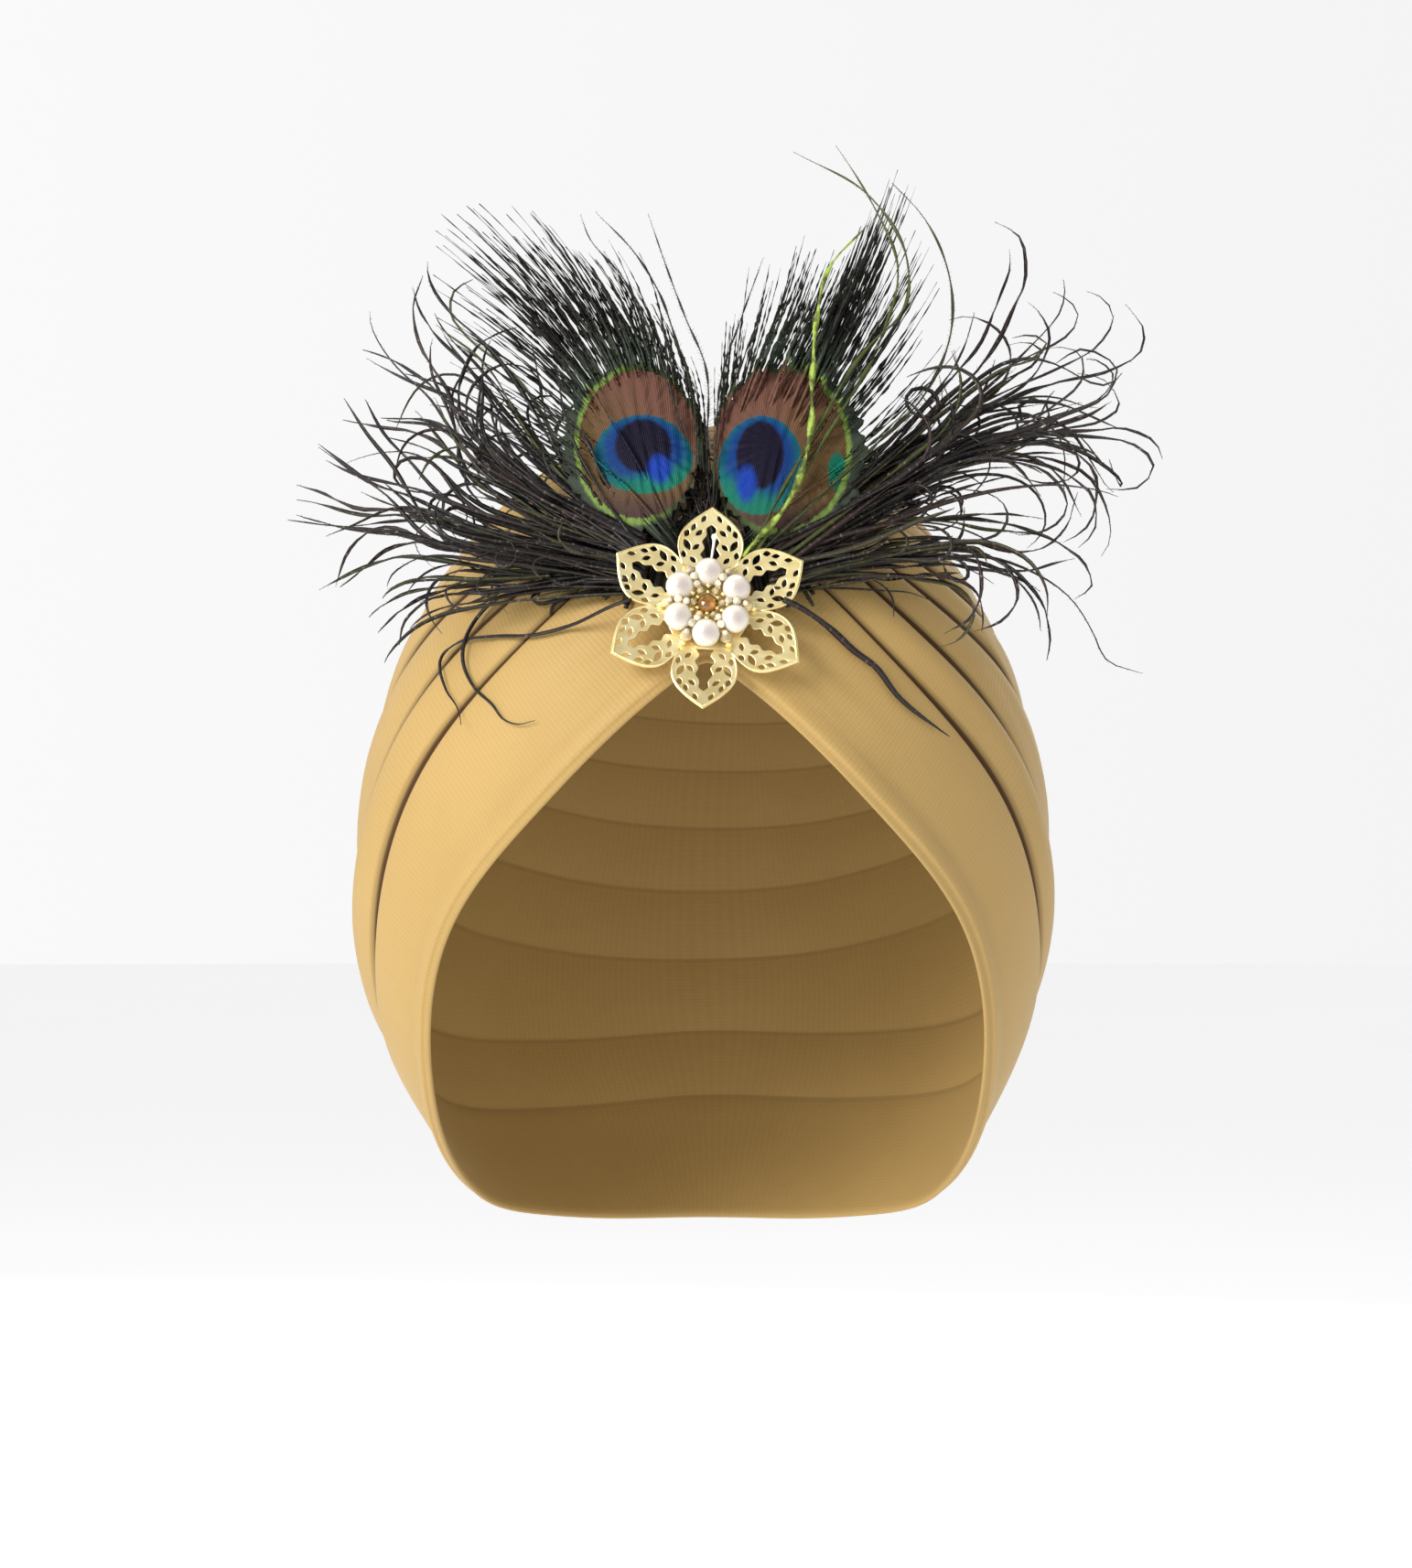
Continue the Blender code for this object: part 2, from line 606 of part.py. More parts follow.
def eye_feather(name, table, side, parts, cutters, vane):
    """A feather with its round eye: a root, a shaft, the flat eye and the flues beyond it."""
    body, middle = seated_head(name, EYE_SEAT, EYE_HEAD, side, parts, vane)
    root, aside, up, out = fan_axes()
    centre = root + (aside * side * EYE_SPOT[0] + up * EYE_SPOT[1]) * FAN_REACH + out * EYE_OUT
    shape = bmesh.new()
    bmesh.ops.create_uvsphere(shape, u_segments=14, v_segments=8, radius=1.0)
    half = (EYE_HALF[0] * FAN_REACH, EYE_HALF[1] * FAN_REACH, EYE_THICK)
    bmesh.ops.scale(shape, vec=half, verts=shape.verts)
    mesh = bpy.data.meshes.new(name + "_eye")
    shape.to_mesh(mesh)
    shape.free()
    basis = Matrix((aside, up, out)).transposed().to_4x4()
    eye = add(name + "_eye", mesh, vane, cutters, Matrix.Translation(centre) @ basis)
    shaft_points = (middle, (middle + centre) / 2, centre)
    shaft = loft(name + "_shaft", lock_rings(shaft_points, FLUE_WIDE, FLUE_THICK * 1.4, 3))
    helpers = [eye, add(name + "_shaft", shaft, vane, cutters)]
    beyond = [row for row in table if row[0][0][1] > EYE_SPOT[1]]
    crossing = [row for row in table if row not in beyond]
    spread = aside * EYE_HALF[0] * FAN_REACH * 0.8 * side
    helpers += locks(
        name, beyond, centre, -spread, FLUE_WIDE, FLUE_THICK, LOCK_STEPS, cutters, vane
    )
    if crossing:
        front = middle + out * GAP
        spread = aside * EYE_HEAD[0]
        helpers += locks(
            name + "_curl", crossing, front, spread, CURL_WIDE, HERL_THICK, LOCK_STEPS, cutters, vane
        )
    fuse(body, helpers)


def main():
    clear_scene()
    parts = new_collection("turban_hat")
    cutters = new_collection("guides")
    cloth = finish("cloth", (0.60, 0.42, 0.16), 0.75)
    gold = finish("gold", (0.83, 0.62, 0.22), 0.28, 1.0)
    pearl = finish("pearl", (0.90, 0.86, 0.78), 0.22)
    amber = finish("amber", (0.45, 0.22, 0.05), 0.12)
    steel = finish("steel", (0.55, 0.55, 0.56), 0.35, 1.0)
    vane = finish("vane", (0.05, 0.09, 0.07), 0.5)
    herl = finish("herl", (0.05, 0.035, 0.035), 0.6)
    turban_cap(parts, cloth)
    herl_fan("herl_fan_left", HERL_LEFT, -1, parts, cutters, herl)
    herl_fan("herl_fan_right", HERL_RIGHT, 1, parts, cutters, herl)
    eye_feather("eye_feather_left", EYE_LEFT, -1, parts, cutters, vane)
    eye_feather("eye_feather_right", EYE_RIGHT, 1, parts, cutters, vane)
    brooch_post(parts, steel)
    brooch_filigree(parts, gold)
    pearls(parts, pearl)
    crystal_setting(parts, cutters, amber)


main()
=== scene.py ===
"""A pleated turban hat with a feather spray and a pierced flower brooch set with pearls.

Metres, +Z up. The front faces -Y and +X is the right side as seen from the front.
The origin is the inner top of the crown, where the hat rests on a head.
"""

import math

import bpy
import numpy as np
from bpy.props import FloatProperty, FloatVectorProperty, IntProperty, PointerProperty
from mathutils import Matrix, Vector


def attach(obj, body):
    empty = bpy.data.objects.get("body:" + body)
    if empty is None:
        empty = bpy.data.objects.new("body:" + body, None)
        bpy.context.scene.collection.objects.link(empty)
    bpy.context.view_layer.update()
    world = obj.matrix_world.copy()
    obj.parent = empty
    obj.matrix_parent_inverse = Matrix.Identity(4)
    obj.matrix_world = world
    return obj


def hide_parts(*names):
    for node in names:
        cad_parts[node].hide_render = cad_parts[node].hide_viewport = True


bl_info = {
    "name": "Turban hat",
    "version": (1, 0, 0),
    "blender": (4, 5, 0),
    "location": "3D View > Sidebar > Turban hat",
    "description": "Builds a pleated turban hat with a feather spray and a pierced flower brooch",
    "category": "Add Mesh",
}

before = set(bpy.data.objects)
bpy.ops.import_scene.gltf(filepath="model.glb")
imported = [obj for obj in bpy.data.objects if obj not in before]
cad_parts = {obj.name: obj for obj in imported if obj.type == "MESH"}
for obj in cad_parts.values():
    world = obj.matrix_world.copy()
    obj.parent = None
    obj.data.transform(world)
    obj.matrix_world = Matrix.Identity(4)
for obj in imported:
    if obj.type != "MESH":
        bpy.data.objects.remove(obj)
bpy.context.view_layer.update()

MM = 0.001

# Angle round the cap from the front, and the opening's distance from the top of the crown, in degrees
RIM_ROWS = (
    (0, 84.0),
    (30, 98.8),
    (60, 107.8),
    (90, 119.2),
    (120, 121.0),
    (150, 114.5),
    (180, 110.0),
)

# Where each fold's upper edge lies, as a share of the way from the opening to the top of the crown,
# and its rise as a share of the fold rise
FOLD_TURNS = (0, 35, 85, 180)
FOLD_ROWS = (
    # front, right quarter, right side, left quarter, left side, back, rise
    (0.285, 0.180, 0.155, 0.195, 0.130, 0.170, 0.70),
    (0.365, 0.255, 0.235, 0.280, 0.220, 0.250, 1.00),
    (0.440, 0.325, 0.365, 0.360, 0.355, 0.330, 1.00),
    (0.510, 0.385, 0.440, 0.435, 0.440, 0.410, 0.95),
    (0.575, 0.445, 0.490, 0.505, 0.510, 0.485, 0.90),
    (0.635, 0.505, 0.540, 0.570, 0.570, 0.555, 0.85),
    (0.690, 0.560, 0.590, 0.630, 0.630, 0.615, 0.80),
    (0.740, 0.615, 0.640, 0.690, 0.685, 0.675, 0.70),
)
# One fold from its foot to its lip, which rolls over and under so that the next fold comes out
# from beneath it: share of the way across, and share of the rise
FOLD_LIP = (
    (-0.06, 0.00),
    (0.04, 0.14),
    (0.14, 0.34),
    (0.32, 0.60),
    (0.52, 0.82),
    (0.70, 0.95),
    (0.83, 1.00),
    (0.92, 0.97),
    (0.98, 0.82),
    (0.99, 0.60),
    (0.95, 0.34),
    (0.87, 0.06),
)
# The lowest band from its turned hem to its lip: share across, share of the hem's rise, share of the band's
BAND_LIP = (
    (0.000, 0.0, 0.00),
    (0.008, 0.7, 0.00),
    (0.030, 1.0, 0.00),
    (0.080, 1.0, 0.02),
    (0.130, 0.8, 0.05),
    (0.170, 0.4, 0.10),
    (0.220, 0.1, 0.20),
    (0.330, 0.0, 0.42),
    (0.550, 0.0, 0.72),
    (0.760, 0.0, 0.94),
    (0.890, 0.0, 1.00),
    (0.955, 0.0, 0.96),
    (0.988, 0.0, 0.80),
    (0.996, 0.0, 0.55),
    (0.985, 0.0, 0.28),
    (0.965, 0.0, 0.06),
)

# Depth of the inner creases, and how far the hem rolls past the opening as a share of the way up
INNER_SEAM = 0.3 * MM
HEM_BULGE = 0.011

# One half of a petal's edge, from the notch beside it to its tip, as shares of the petal's reach
PETAL_EDGE = (
    # out, across
    (0.425, 0.245),
    (0.53, 0.287),
    (0.66, 0.304),
    (0.76, 0.270),
    (0.86, 0.185),
    (0.94, 0.085),
    (1.0, 0.0),
)
# One half of the scalloped opening down the middle of a petal
PETAL_OPENING = (
    (0.40, 0.0),
    (0.41, 0.085),
    (0.47, 0.055),
    (0.53, 0.095),
    (0.60, 0.060),
    (0.66, 0.085),
    (0.73, 0.045),
    (0.79, 0.050),
    (0.835, 0.0),
)
# The leaf slits beside it, each turned by its lean in degrees from the petal's line
PETAL_SLITS = (
    # out, across, length, width, lean
    (0.885, 0.074, 0.092, 0.050, -30),
    (0.800, 0.165, 0.092, 0.052, -22),
    (0.738, 0.226, 0.088, 0.060, -20),
    (0.745, 0.112, 0.100, 0.054, -48),
    (0.625, 0.218, 0.138, 0.068, 30),
    (0.605, 0.134, 0.096, 0.054, -48),
    (0.530, 0.246, 0.088, 0.056, 12),
    (0.475, 0.156, 0.096, 0.052, 45),
)

# Long curls of the side bunches, from the root to the tip: side and up as shares of the fan's reach
CURLS_LEFT = (
    ((-0.14, 0.02), (-0.48, 0.02), (-0.65, 0.01), (-0.69, -0.03), (-0.70, -0.08)),
    ((-0.14, 0.03), (-0.48, 0.07), (-0.69, 0.13), (-0.84, 0.14), (-0.95, 0.15)),
    ((-0.14, 0.05), (-0.46, 0.17), (-0.70, 0.26), (-0.81, 0.28), (-0.89, 0.33), (-0.95, 0.36)),
    ((-0.14, 0.04), (-0.40, 0.08), (-0.61, 0.13), (-0.72, 0.30), (-0.78, 0.38), (-0.83, 0.46)),
    ((-0.14, 0.07), (-0.38, 0.25), (-0.59, 0.45), (-0.65, 0.51), (-0.73, 0.56), (-0.79, 0.58)),
    ((-0.14, 0.06), (-0.40, 0.22), (-0.56, 0.36), (-0.58, 0.45), (-0.59, 0.58), (-0.55, 0.65),
     (-0.50, 0.65)),
    ((-0.14, 0.07), (-0.40, 0.26), (-0.56, 0.41), (-0.60, 0.52), (-0.66, 0.63), (-0.68, 0.75),
     (-0.66, 0.82)),
    ((-0.14, 0.08), (-0.38, 0.36), (-0.56, 0.62), (-0.62, 0.69), (-0.67, 0.78), (-0.69, 0.85)),
    ((-0.14, 0.09), (-0.28, 0.28), (-0.46, 0.62), (-0.56, 0.72), (-0.60, 0.79), (-0.59, 0.86),
     (-0.55, 0.89)),
)
CURLS_RIGHT = (
    ((0.14, 0.01), (0.44, 0.08), (0.60, 0.09), (0.62, 0.02), (0.59, -0.08), (0.53, -0.12)),
    ((0.14, 0.02), (0.45, 0.09), (0.66, 0.09), (0.72, 0.05), (0.76, -0.03), (0.76, -0.12)),
    ((0.14, 0.02), (0.45, 0.08), (0.67, 0.09), (0.83, -0.01), (0.87, -0.08), (0.90, -0.15), (0.98, -0.18)),
    ((0.14, 0.03), (0.55, 0.19), (0.68, 0.18), (0.80, 0.13), (0.86, 0.07), (0.87, 0.02), (0.83, -0.01)),
    ((0.14, 0.05), (0.42, 0.24), (0.65, 0.39), (0.81, 0.39), (0.88, 0.34), (0.89, 0.27), (0.86, 0.18),
     (0.81, 0.15)),
    ((0.14, 0.05), (0.42, 0.25), (0.65, 0.38), (0.89, 0.40), (0.98, 0.38), (1.02, 0.33), (0.98, 0.27),
     (0.91, 0.27)),
    ((0.14, 0.06), (0.36, 0.20), (0.55, 0.33), (0.81, 0.43), (0.92, 0.49), (0.94, 0.55), (0.86, 0.60),
     (0.80, 0.56)),
    ((0.14, 0.07), (0.40, 0.31), (0.57, 0.45), (0.81, 0.59), (0.95, 0.64), (1.01, 0.69), (1.02, 0.75),
     (0.98, 0.83)),
    ((0.14, 0.07), (0.40, 0.31), (0.57, 0.47), (0.68, 0.55), (0.76, 0.58), (0.78, 0.61), (0.75, 0.63),
     (0.70, 0.62)),
    ((0.14, 0.08), (0.41, 0.34), (0.53, 0.48), (0.64, 0.60), (0.70, 0.72), (0.74, 0.83), (0.72, 0.94),
     (0.67, 0.97)),
)
# Short herls behind the top of the brooch and between the eyes
ROOT_HERLS = (
    ((-0.24, 0.00), (-0.20, 0.07), (-0.13, 0.15), (-0.05, 0.28)),
    ((-0.12, -0.02), (-0.10, 0.10), (-0.07, 0.22), (-0.03, 0.38)),
    ((-0.03, -0.02), (-0.02, 0.12), (-0.01, 0.28), (0.00, 0.46)),
    ((0.03, -0.02), (0.02, 0.12), (0.01, 0.28), (0.00, 0.46)),
    ((0.12, -0.02), (0.10, 0.09), (0.07, 0.20), (0.03, 0.34)),
    ((0.24, 0.00), (0.20, 0.06), (0.13, 0.14), (0.05, 0.26)),
)
# Olive curls in front of the right eye, and how far each stands out, as a share of the reach
CURLS_FRONT = (
    (((0.08, 0.06), (0.19, 0.20), (0.23, 0.33), (0.24, 0.51), (0.25, 0.64), (0.28, 0.77),
      (0.37, 0.88)), 0.13),
    (((0.10, 0.08), (0.24, 0.36), (0.37, 0.59), (0.45, 0.68), (0.46, 0.82), (0.37, 0.99),
      (0.20, 1.10)), 0.10),
    (((0.11, 0.07), (0.27, 0.36), (0.40, 0.62), (0.44, 0.80), (0.38, 0.98), (0.34, 1.06),
      (0.30, 1.13)), 0.08),
    (((0.12, 0.07), (0.34, 0.30), (0.50, 0.48), (0.56, 0.64), (0.56, 0.78), (0.50, 0.95),
      (0.43, 1.04)), 0.06),
)
# Single strands that lie on the cloth below the fan
STRANDS_LOW = (
    ((0.17, -0.05), (0.21, -0.07), (0.28, -0.12), (0.33, -0.17), (0.38, -0.21), (0.43, -0.28),
     (0.55, -0.38)),
    ((0.15, -0.02), (0.19, -0.02), (0.30, -0.01), (0.40, -0.01), (0.46, -0.01), (0.52, -0.03)),
    ((-0.18, 0.00), (-0.41, -0.01), (-0.48, -0.03), (-0.53, -0.08), (-0.56, -0.19), (-0.53, -0.26),
     (-0.49, -0.30), (-0.46, -0.34), (-0.43, -0.35), (-0.39, -0.34)),
    ((-0.17, -0.05), (-0.20, -0.06), (-0.31, -0.11), (-0.39, -0.13), (-0.49, -0.13), (-0.57, -0.14),
     (-0.61, -0.17), (-0.60, -0.26), (-0.57, -0.31), (-0.56, -0.35)),
    ((-0.20, 0.00), (-0.47, 0.02), (-0.57, 0.02), (-0.61, 0.00), (-0.60, -0.03), (-0.57, -0.05),
     (-0.52, -0.04), (-0.46, 0.00), (-0.38, 0.02)),
)
# The fine flues beyond each eye, in order from the outer side to the middle: start and tip, side and up
FLUES_LEFT = (
    (-0.05, 0.05, -0.52, 0.40),
    (-0.06, 0.09, -0.58, 0.56),
    (-0.08, 0.14, -0.62, 0.76),
    (-0.10, 0.19, -0.62, 0.90),
    (-0.12, 0.25, -0.56, 0.96),
    (-0.12, 0.30, -0.47, 0.96),
    (-0.12, 0.34, -0.38, 0.94),
    (-0.11, 0.38, -0.30, 0.91),
    (-0.09, 0.40, -0.22, 0.87),
    (-0.06, 0.40, -0.16, 0.79),
    (-0.03, 0.38, -0.11, 0.70),
    (-0.01, 0.32, -0.06, 0.60),
    (0.00, 0.22, -0.03, 0.48),
)
FLUES_RIGHT = (
    (0.05, 0.05, 0.55, 0.44),
    (0.08, 0.11, 0.56, 0.60),
    (0.12, 0.18, 0.54, 0.76),
    (0.14, 0.24, 0.50, 0.92),
    (0.15, 0.28, 0.46, 1.02),
    (0.14, 0.32, 0.42, 1.05),
    (0.13, 0.36, 0.38, 0.96),
    (0.11, 0.38, 0.32, 0.90),
    (0.08, 0.40, 0.26, 0.88),
    (0.05, 0.40, 0.19, 0.86),
    (0.03, 0.36, 0.12, 0.83),
    (0.02, 0.30, 0.05, 0.74),
    (0.01, 0.20, 0.02, 0.52),
)
# How each feather's flues lean where they leave and where they end: outwards and upwards
LEAN_LEFT = ((0.0, 0.40), (0.28, -0.06))
LEAN_RIGHT = ((0.05, 0.10), (0.0, 0.30))
# Long single flues between the eyes
FLUES_LONG = (
    ((-0.02, 0.30), (-0.042, 0.526), (-0.068, 0.617), (-0.114, 0.767), (-0.169, 0.872), (-0.26, 0.985)),
    ((0.00, 0.34), (-0.007, 0.572), (-0.048, 0.686), (-0.088, 0.81), (-0.138, 0.98)),
    ((-0.05, 0.36), (-0.12, 0.62), (-0.20, 0.81), (-0.276, 0.917), (-0.296, 0.98)),
    ((0.02, 0.30), (0.03, 0.52), (0.08, 0.70), (0.13, 0.86)),
)
# How far barbs lean from the strand's line, and their spacing, length and width in bunches and alone
BARB_LEAN = 0.55
BUNCH_FRINGE = (0.9 * MM, 1.5 * MM, 0.16 * MM)
STRAND_FRINGE = (0.55 * MM, 1.5 * MM, 0.14 * MM)
# A vane's cup at its middle and half its thickness, as shares of the reach
VANE_CUP = 0.030
VANE_HALF = 0.003
# Each eye's bronze oval and blue heart: middle (side, up) and half sizes, as shares of the reach
OVAL_LEFT = ((-0.158, 0.366), (0.136, 0.196))
OVAL_RIGHT = ((0.166, 0.350), (0.152, 0.208))
HEART_LEFT = ((-0.146, 0.330), (0.114, 0.102))
HEART_RIGHT = ((0.120, 0.304), (0.096, 0.128))


# The camera's place to the side and its sensor in millimetres, what the lights face, and the floor
CAMERA_SIDE = -0.36 * MM
SENSOR = 36.0
LIT = (0, 0, -0.09)
FLOOR_RADIUS = 9.0
LIGHTS = (
    # name, place, size, share of the key's or the fill's power
    ("key", (-1.18, -1.42, 0.7), 0.9, 1.0),
    ("fill", (1.5, -1.2, 0.2), 1.2, 0.1),
    ("top", (0.2, 0.5, 1.6), 1.0, 1.0),
    ("back", (0.5, 1.8, 0.5), 1.2, 1.0),
)
# The sky's strength: along which axis it changes, between which heights or sides, and from what to what
SKY = (
    ("Z", 0.25, 0.75, 0.93, 0.30),
    ("X", -0.8, 0.8, 1.14, 0.86),
)


class ClothSizes(bpy.types.PropertyGroup):
    """The wrapped cloth and the head it fits"""

    half_width: FloatProperty(
        name="Half width", description="Half the width inside", default=80 * MM, unit="LENGTH")
    half_depth: FloatProperty(
        name="Half depth", description="Half the depth inside", default=98 * MM, unit="LENGTH")
    half_height: FloatProperty(
        name="Half height", description="Half the height of the egg it fits", default=120 * MM,
        unit="LENGTH")
    wall: FloatProperty(
        name="Cloth", description="Thickness of the doubled cloth", default=1.8 * MM, unit="LENGTH")
    ease: FloatProperty(
        name="Ease", description="Room between the head and the cloth", default=0.5 * MM, unit="LENGTH")
    fullness_right: FloatProperty(
        name="Fullness right", description="How far the right side stands off", default=5.5 * MM,
        unit="LENGTH")
    fullness_left: FloatProperty(
        name="Fullness left", description="How far the left side stands off", default=7.5 * MM,
        unit="LENGTH")
    fullness_back: FloatProperty(
        name="Fullness back", description="How far the back stands off", default=4.5 * MM, unit="LENGTH")
    fold_rise: FloatProperty(
        name="Fold rise", description="Height of a fold's lip", default=3.3 * MM, unit="LENGTH")
    seat: FloatProperty(
        name="Seat", description="Rise of the band under the brooch and the feathers",
        default=0.65 * MM, unit="LENGTH")
    hem_rise: FloatProperty(
        name="Hem rise", description="Height of the turned hem", default=0.9 * MM, unit="LENGTH")
    crown_tilt: FloatProperty(
        name="Crown tilt", description="Lean of the crown's top to the back",
        default=math.radians(25), subtype="ANGLE")
    around: IntProperty(
        name="Steps round", description="Steps of the cloth's surface round the cap", default=300)
    ribs: IntProperty(
        name="Knit ribs", description="Ribs of the knit round the cap", default=460)
    stitches: IntProperty(
        name="Knit rows", description="Rows of stitches from the top inside to the top outside",
        default=420)
    colour: FloatVectorProperty(
        name="Cloth", description="Camel knit", default=(0.425, 0.278, 0.092), subtype="COLOR")
    # Painted shade: the colour painted down in the folds and under their lips, where shade falls
    shade: FloatVectorProperty(
        name="Fold shade", description="Colour down in the folds", default=(0.062, 0.027, 0.007),
        subtype="COLOR")


class BroochSizes(bpy.types.PropertyGroup):
    """The pierced flower, its pearls and its stones"""

    share: FloatProperty(
        name="Height", description="Place above the opening, as a share of the way up", default=0.052)
    tilt: FloatProperty(
        name="Tilt", description="Lean of the flower to the sky", default=math.radians(20), subtype="ANGLE")
    roll: FloatProperty(
        name="Roll", description="Turn of the flower about its middle", default=math.radians(-2.7),
        subtype="ANGLE")
    stand_off: FloatProperty(
        name="Stand-off", description="From the cloth to the back of the plate", default=6.3 * MM,
        unit="LENGTH")
    reach: FloatProperty(
        name="Petal reach", description="From the middle to a petal's tip", default=26.7 * MM, unit="LENGTH")
    plate: FloatProperty(
        name="Plate", description="Thickness of the stamped plate", default=0.8 * MM, unit="LENGTH")
    petals: IntProperty(name="Petals", description="Petals and pearls", default=6)
    pearl: FloatProperty(
        name="Pearl", description="Diameter of a pearl", default=7.0 * MM, unit="LENGTH")
    pearl_ring: FloatProperty(
        name="Pearl ring", description="Radius of the ring of pearls", default=8.1 * MM, unit="LENGTH")
    stone: FloatProperty(
        name="Stone", description="Radius of the middle stone", default=2.7 * MM, unit="LENGTH")
    gold: FloatVectorProperty(
        name="Gold", description="Pale stamped gold", default=(0.920, 0.745, 0.350), subtype="COLOR")
    lustre: FloatVectorProperty(
        name="Pearl", description="Cream lustre", default=(0.780, 0.720, 0.620), subtype="COLOR")
    amber: FloatVectorProperty(
        name="Amber", description="Honey crystal", default=(0.500, 0.230, 0.040), subtype="COLOR")


class FeatherSizes(bpy.types.PropertyGroup):
    """The two eye feathers and the bunches of herl beside them"""

    reach: FloatProperty(
        name="Fan reach", description="Size of the fan", default=110 * MM, unit="LENGTH")
    lean: FloatProperty(
        name="Lean", description="Lean of the fan to the back", default=math.radians(27), subtype="ANGLE")
    foot: FloatProperty(
        name="Foot", description="Where the fan's plane leaves the cloth, as a share of the way up",
        default=0.09)
    forward: FloatProperty(
        name="Forward", description="From the cloth to the fan's plane", default=5.5 * MM, unit="LENGTH")
    flues: IntProperty(name="Flues", description="Fine flues beyond each eye", default=200)
    herls: IntProperty(name="Herls", description="Strands in each side bunch", default=120)
    herl: FloatVectorProperty(
        name="Herl", description="Brown black of the side bunches", default=(0.010, 0.007, 0.006),
        subtype="COLOR")
    olive: FloatVectorProperty(
        name="Olive", description="Green lights on the curls", default=(0.115, 0.150, 0.022),
        subtype="COLOR")
    bronze: FloatVectorProperty(
        name="Bronze", description="The oval of an eye", default=(0.140, 0.062, 0.042), subtype="COLOR")
    teal: FloatVectorProperty(
        name="Teal", description="The edge of a heart", default=(0.002, 0.105, 0.125), subtype="COLOR")
    blue: FloatVectorProperty(
        name="Blue", description="The bright part of a heart", default=(0.002, 0.034, 0.165),
        subtype="COLOR")
    violet: FloatVectorProperty(
        name="Violet", description="The dark core of a heart", default=(0.003, 0.001, 0.012),
        subtype="COLOR")


class StageSizes(bpy.types.PropertyGroup):
    """The camera, the lights and the floor"""

    distance: FloatProperty(
        name="Camera distance", description="From the camera to the head's middle", default=1.5,
        unit="LENGTH")
    eye_level: FloatProperty(
        name="Camera height", description="Height of the camera", default=-90.2 * MM, unit="LENGTH")
    lens: FloatProperty(name="Lens", description="Focal length in millimetres", default=130.97)
    floor: FloatProperty(
        name="Floor", description="Height of the floor", default=-0.42, unit="LENGTH")
    key: FloatProperty(name="Key light", description="Power of the main light", default=38.0)
    fill: FloatProperty(name="Fill light", description="Power of the side light", default=9.0)


class Signal:
    """One output of a material's nodes, on which the signs of arithmetic add Math nodes"""

    def __init__(self, finish, out):
        self.finish = finish
        self.out = out

    def math(self, operation, *values):
        return self.finish.node("ShaderNodeMath", {"operation": operation}, dict(enumerate(values)))

    def __add__(self, other):
        return self.math("ADD", self, other)

    def __radd__(self, other):
        return self.math("ADD", other, self)

    def __sub__(self, other):
        return self.math("SUBTRACT", self, other)

    def __rsub__(self, other):
        return self.math("SUBTRACT", other, self)

    def __mul__(self, other):
        return self.math("MULTIPLY", self, other)

    def __rmul__(self, other):
        return self.math("MULTIPLY", other, self)

    def __pow__(self, other):
        return self.math("POWER", self, other)

    def sine(self):
        return self.math("SINE", self)

    def step(self, low, high):
        """0 below low, 1 above high and a smooth rise between them."""
        settings = {"interpolation_type": "SMOOTHSTEP", "clamp": True}
        return self.finish.node("ShaderNodeMapRange", settings, {0: self, 1: low, 2: high})


class Finish:
    """A material with a Principled shader, whose other nodes all come from one method"""

    def __init__(self, name, **constant):
        self.material = bpy.data.materials.new(name)
        self.material.use_nodes = True
        self.nodes = self.material.node_tree.nodes
        self.links = self.material.node_tree.links
        self.shader = self.nodes["Principled BSDF"]
        self.set(**constant)

    def set(self, **values):
        """Feeds the shader's sockets, named with low lines for spaces."""
        for name, value in values.items():
            self.feed(self.shader.inputs[name.replace("_", " ")], value)

    def feed(self, target, value):
        if isinstance(value, Signal):
            self.links.new(value.out, target)
        elif hasattr(target.default_value, "__len__") and len(target.default_value) == 4:
            target.default_value = (*value[:3], 1.0)
        else:
            target.default_value = value

    def node(self, kind, settings=None, values=None, out=0):
        """A new node with its settings first, then the values or links of its sockets."""
        made = self.nodes.new(kind)
        for key, value in (settings or {}).items():
            setattr(made, key, value)
        for key, value in (values or {}).items():
            self.feed(made.inputs[key], value)
        return Signal(self, made.outputs[out])

    def attribute(self, name, out="Fac"):
        return self.node("ShaderNodeAttribute", {"attribute_name": name}, out=out)

    def parts(self, vector):
        """The three numbers of a vector."""
        return [self.node("ShaderNodeSeparateXYZ", values={0: vector}, out=i) for i in range(3)]

    def place(self):
        return self.node("ShaderNodeTexCoord", out="Object")

    def noise(self, scale, detail=3.0, vector=None, stretch=None):
        vector = vector or self.place()
        if stretch is not None:
            vector = self.node("ShaderNodeMapping", values={"Vector": vector, "Scale": stretch})
        return self.node(
            "ShaderNodeTexNoise", values={"Vector": vector, "Scale": scale, "Detail": detail})

    def mix(self, factor, first, second, blend="MIX"):
        settings = {"data_type": "RGBA", "blend_type": blend}
        return self.node("ShaderNodeMix", settings, {0: factor, 6: first, 7: second}, out=2)

    def bump(self, height, distance, strength=1.0):
        values = {"Height": height, "Distance": distance, "Strength": strength}
        self.set(Normal=self.node("ShaderNodeBump", values=values))


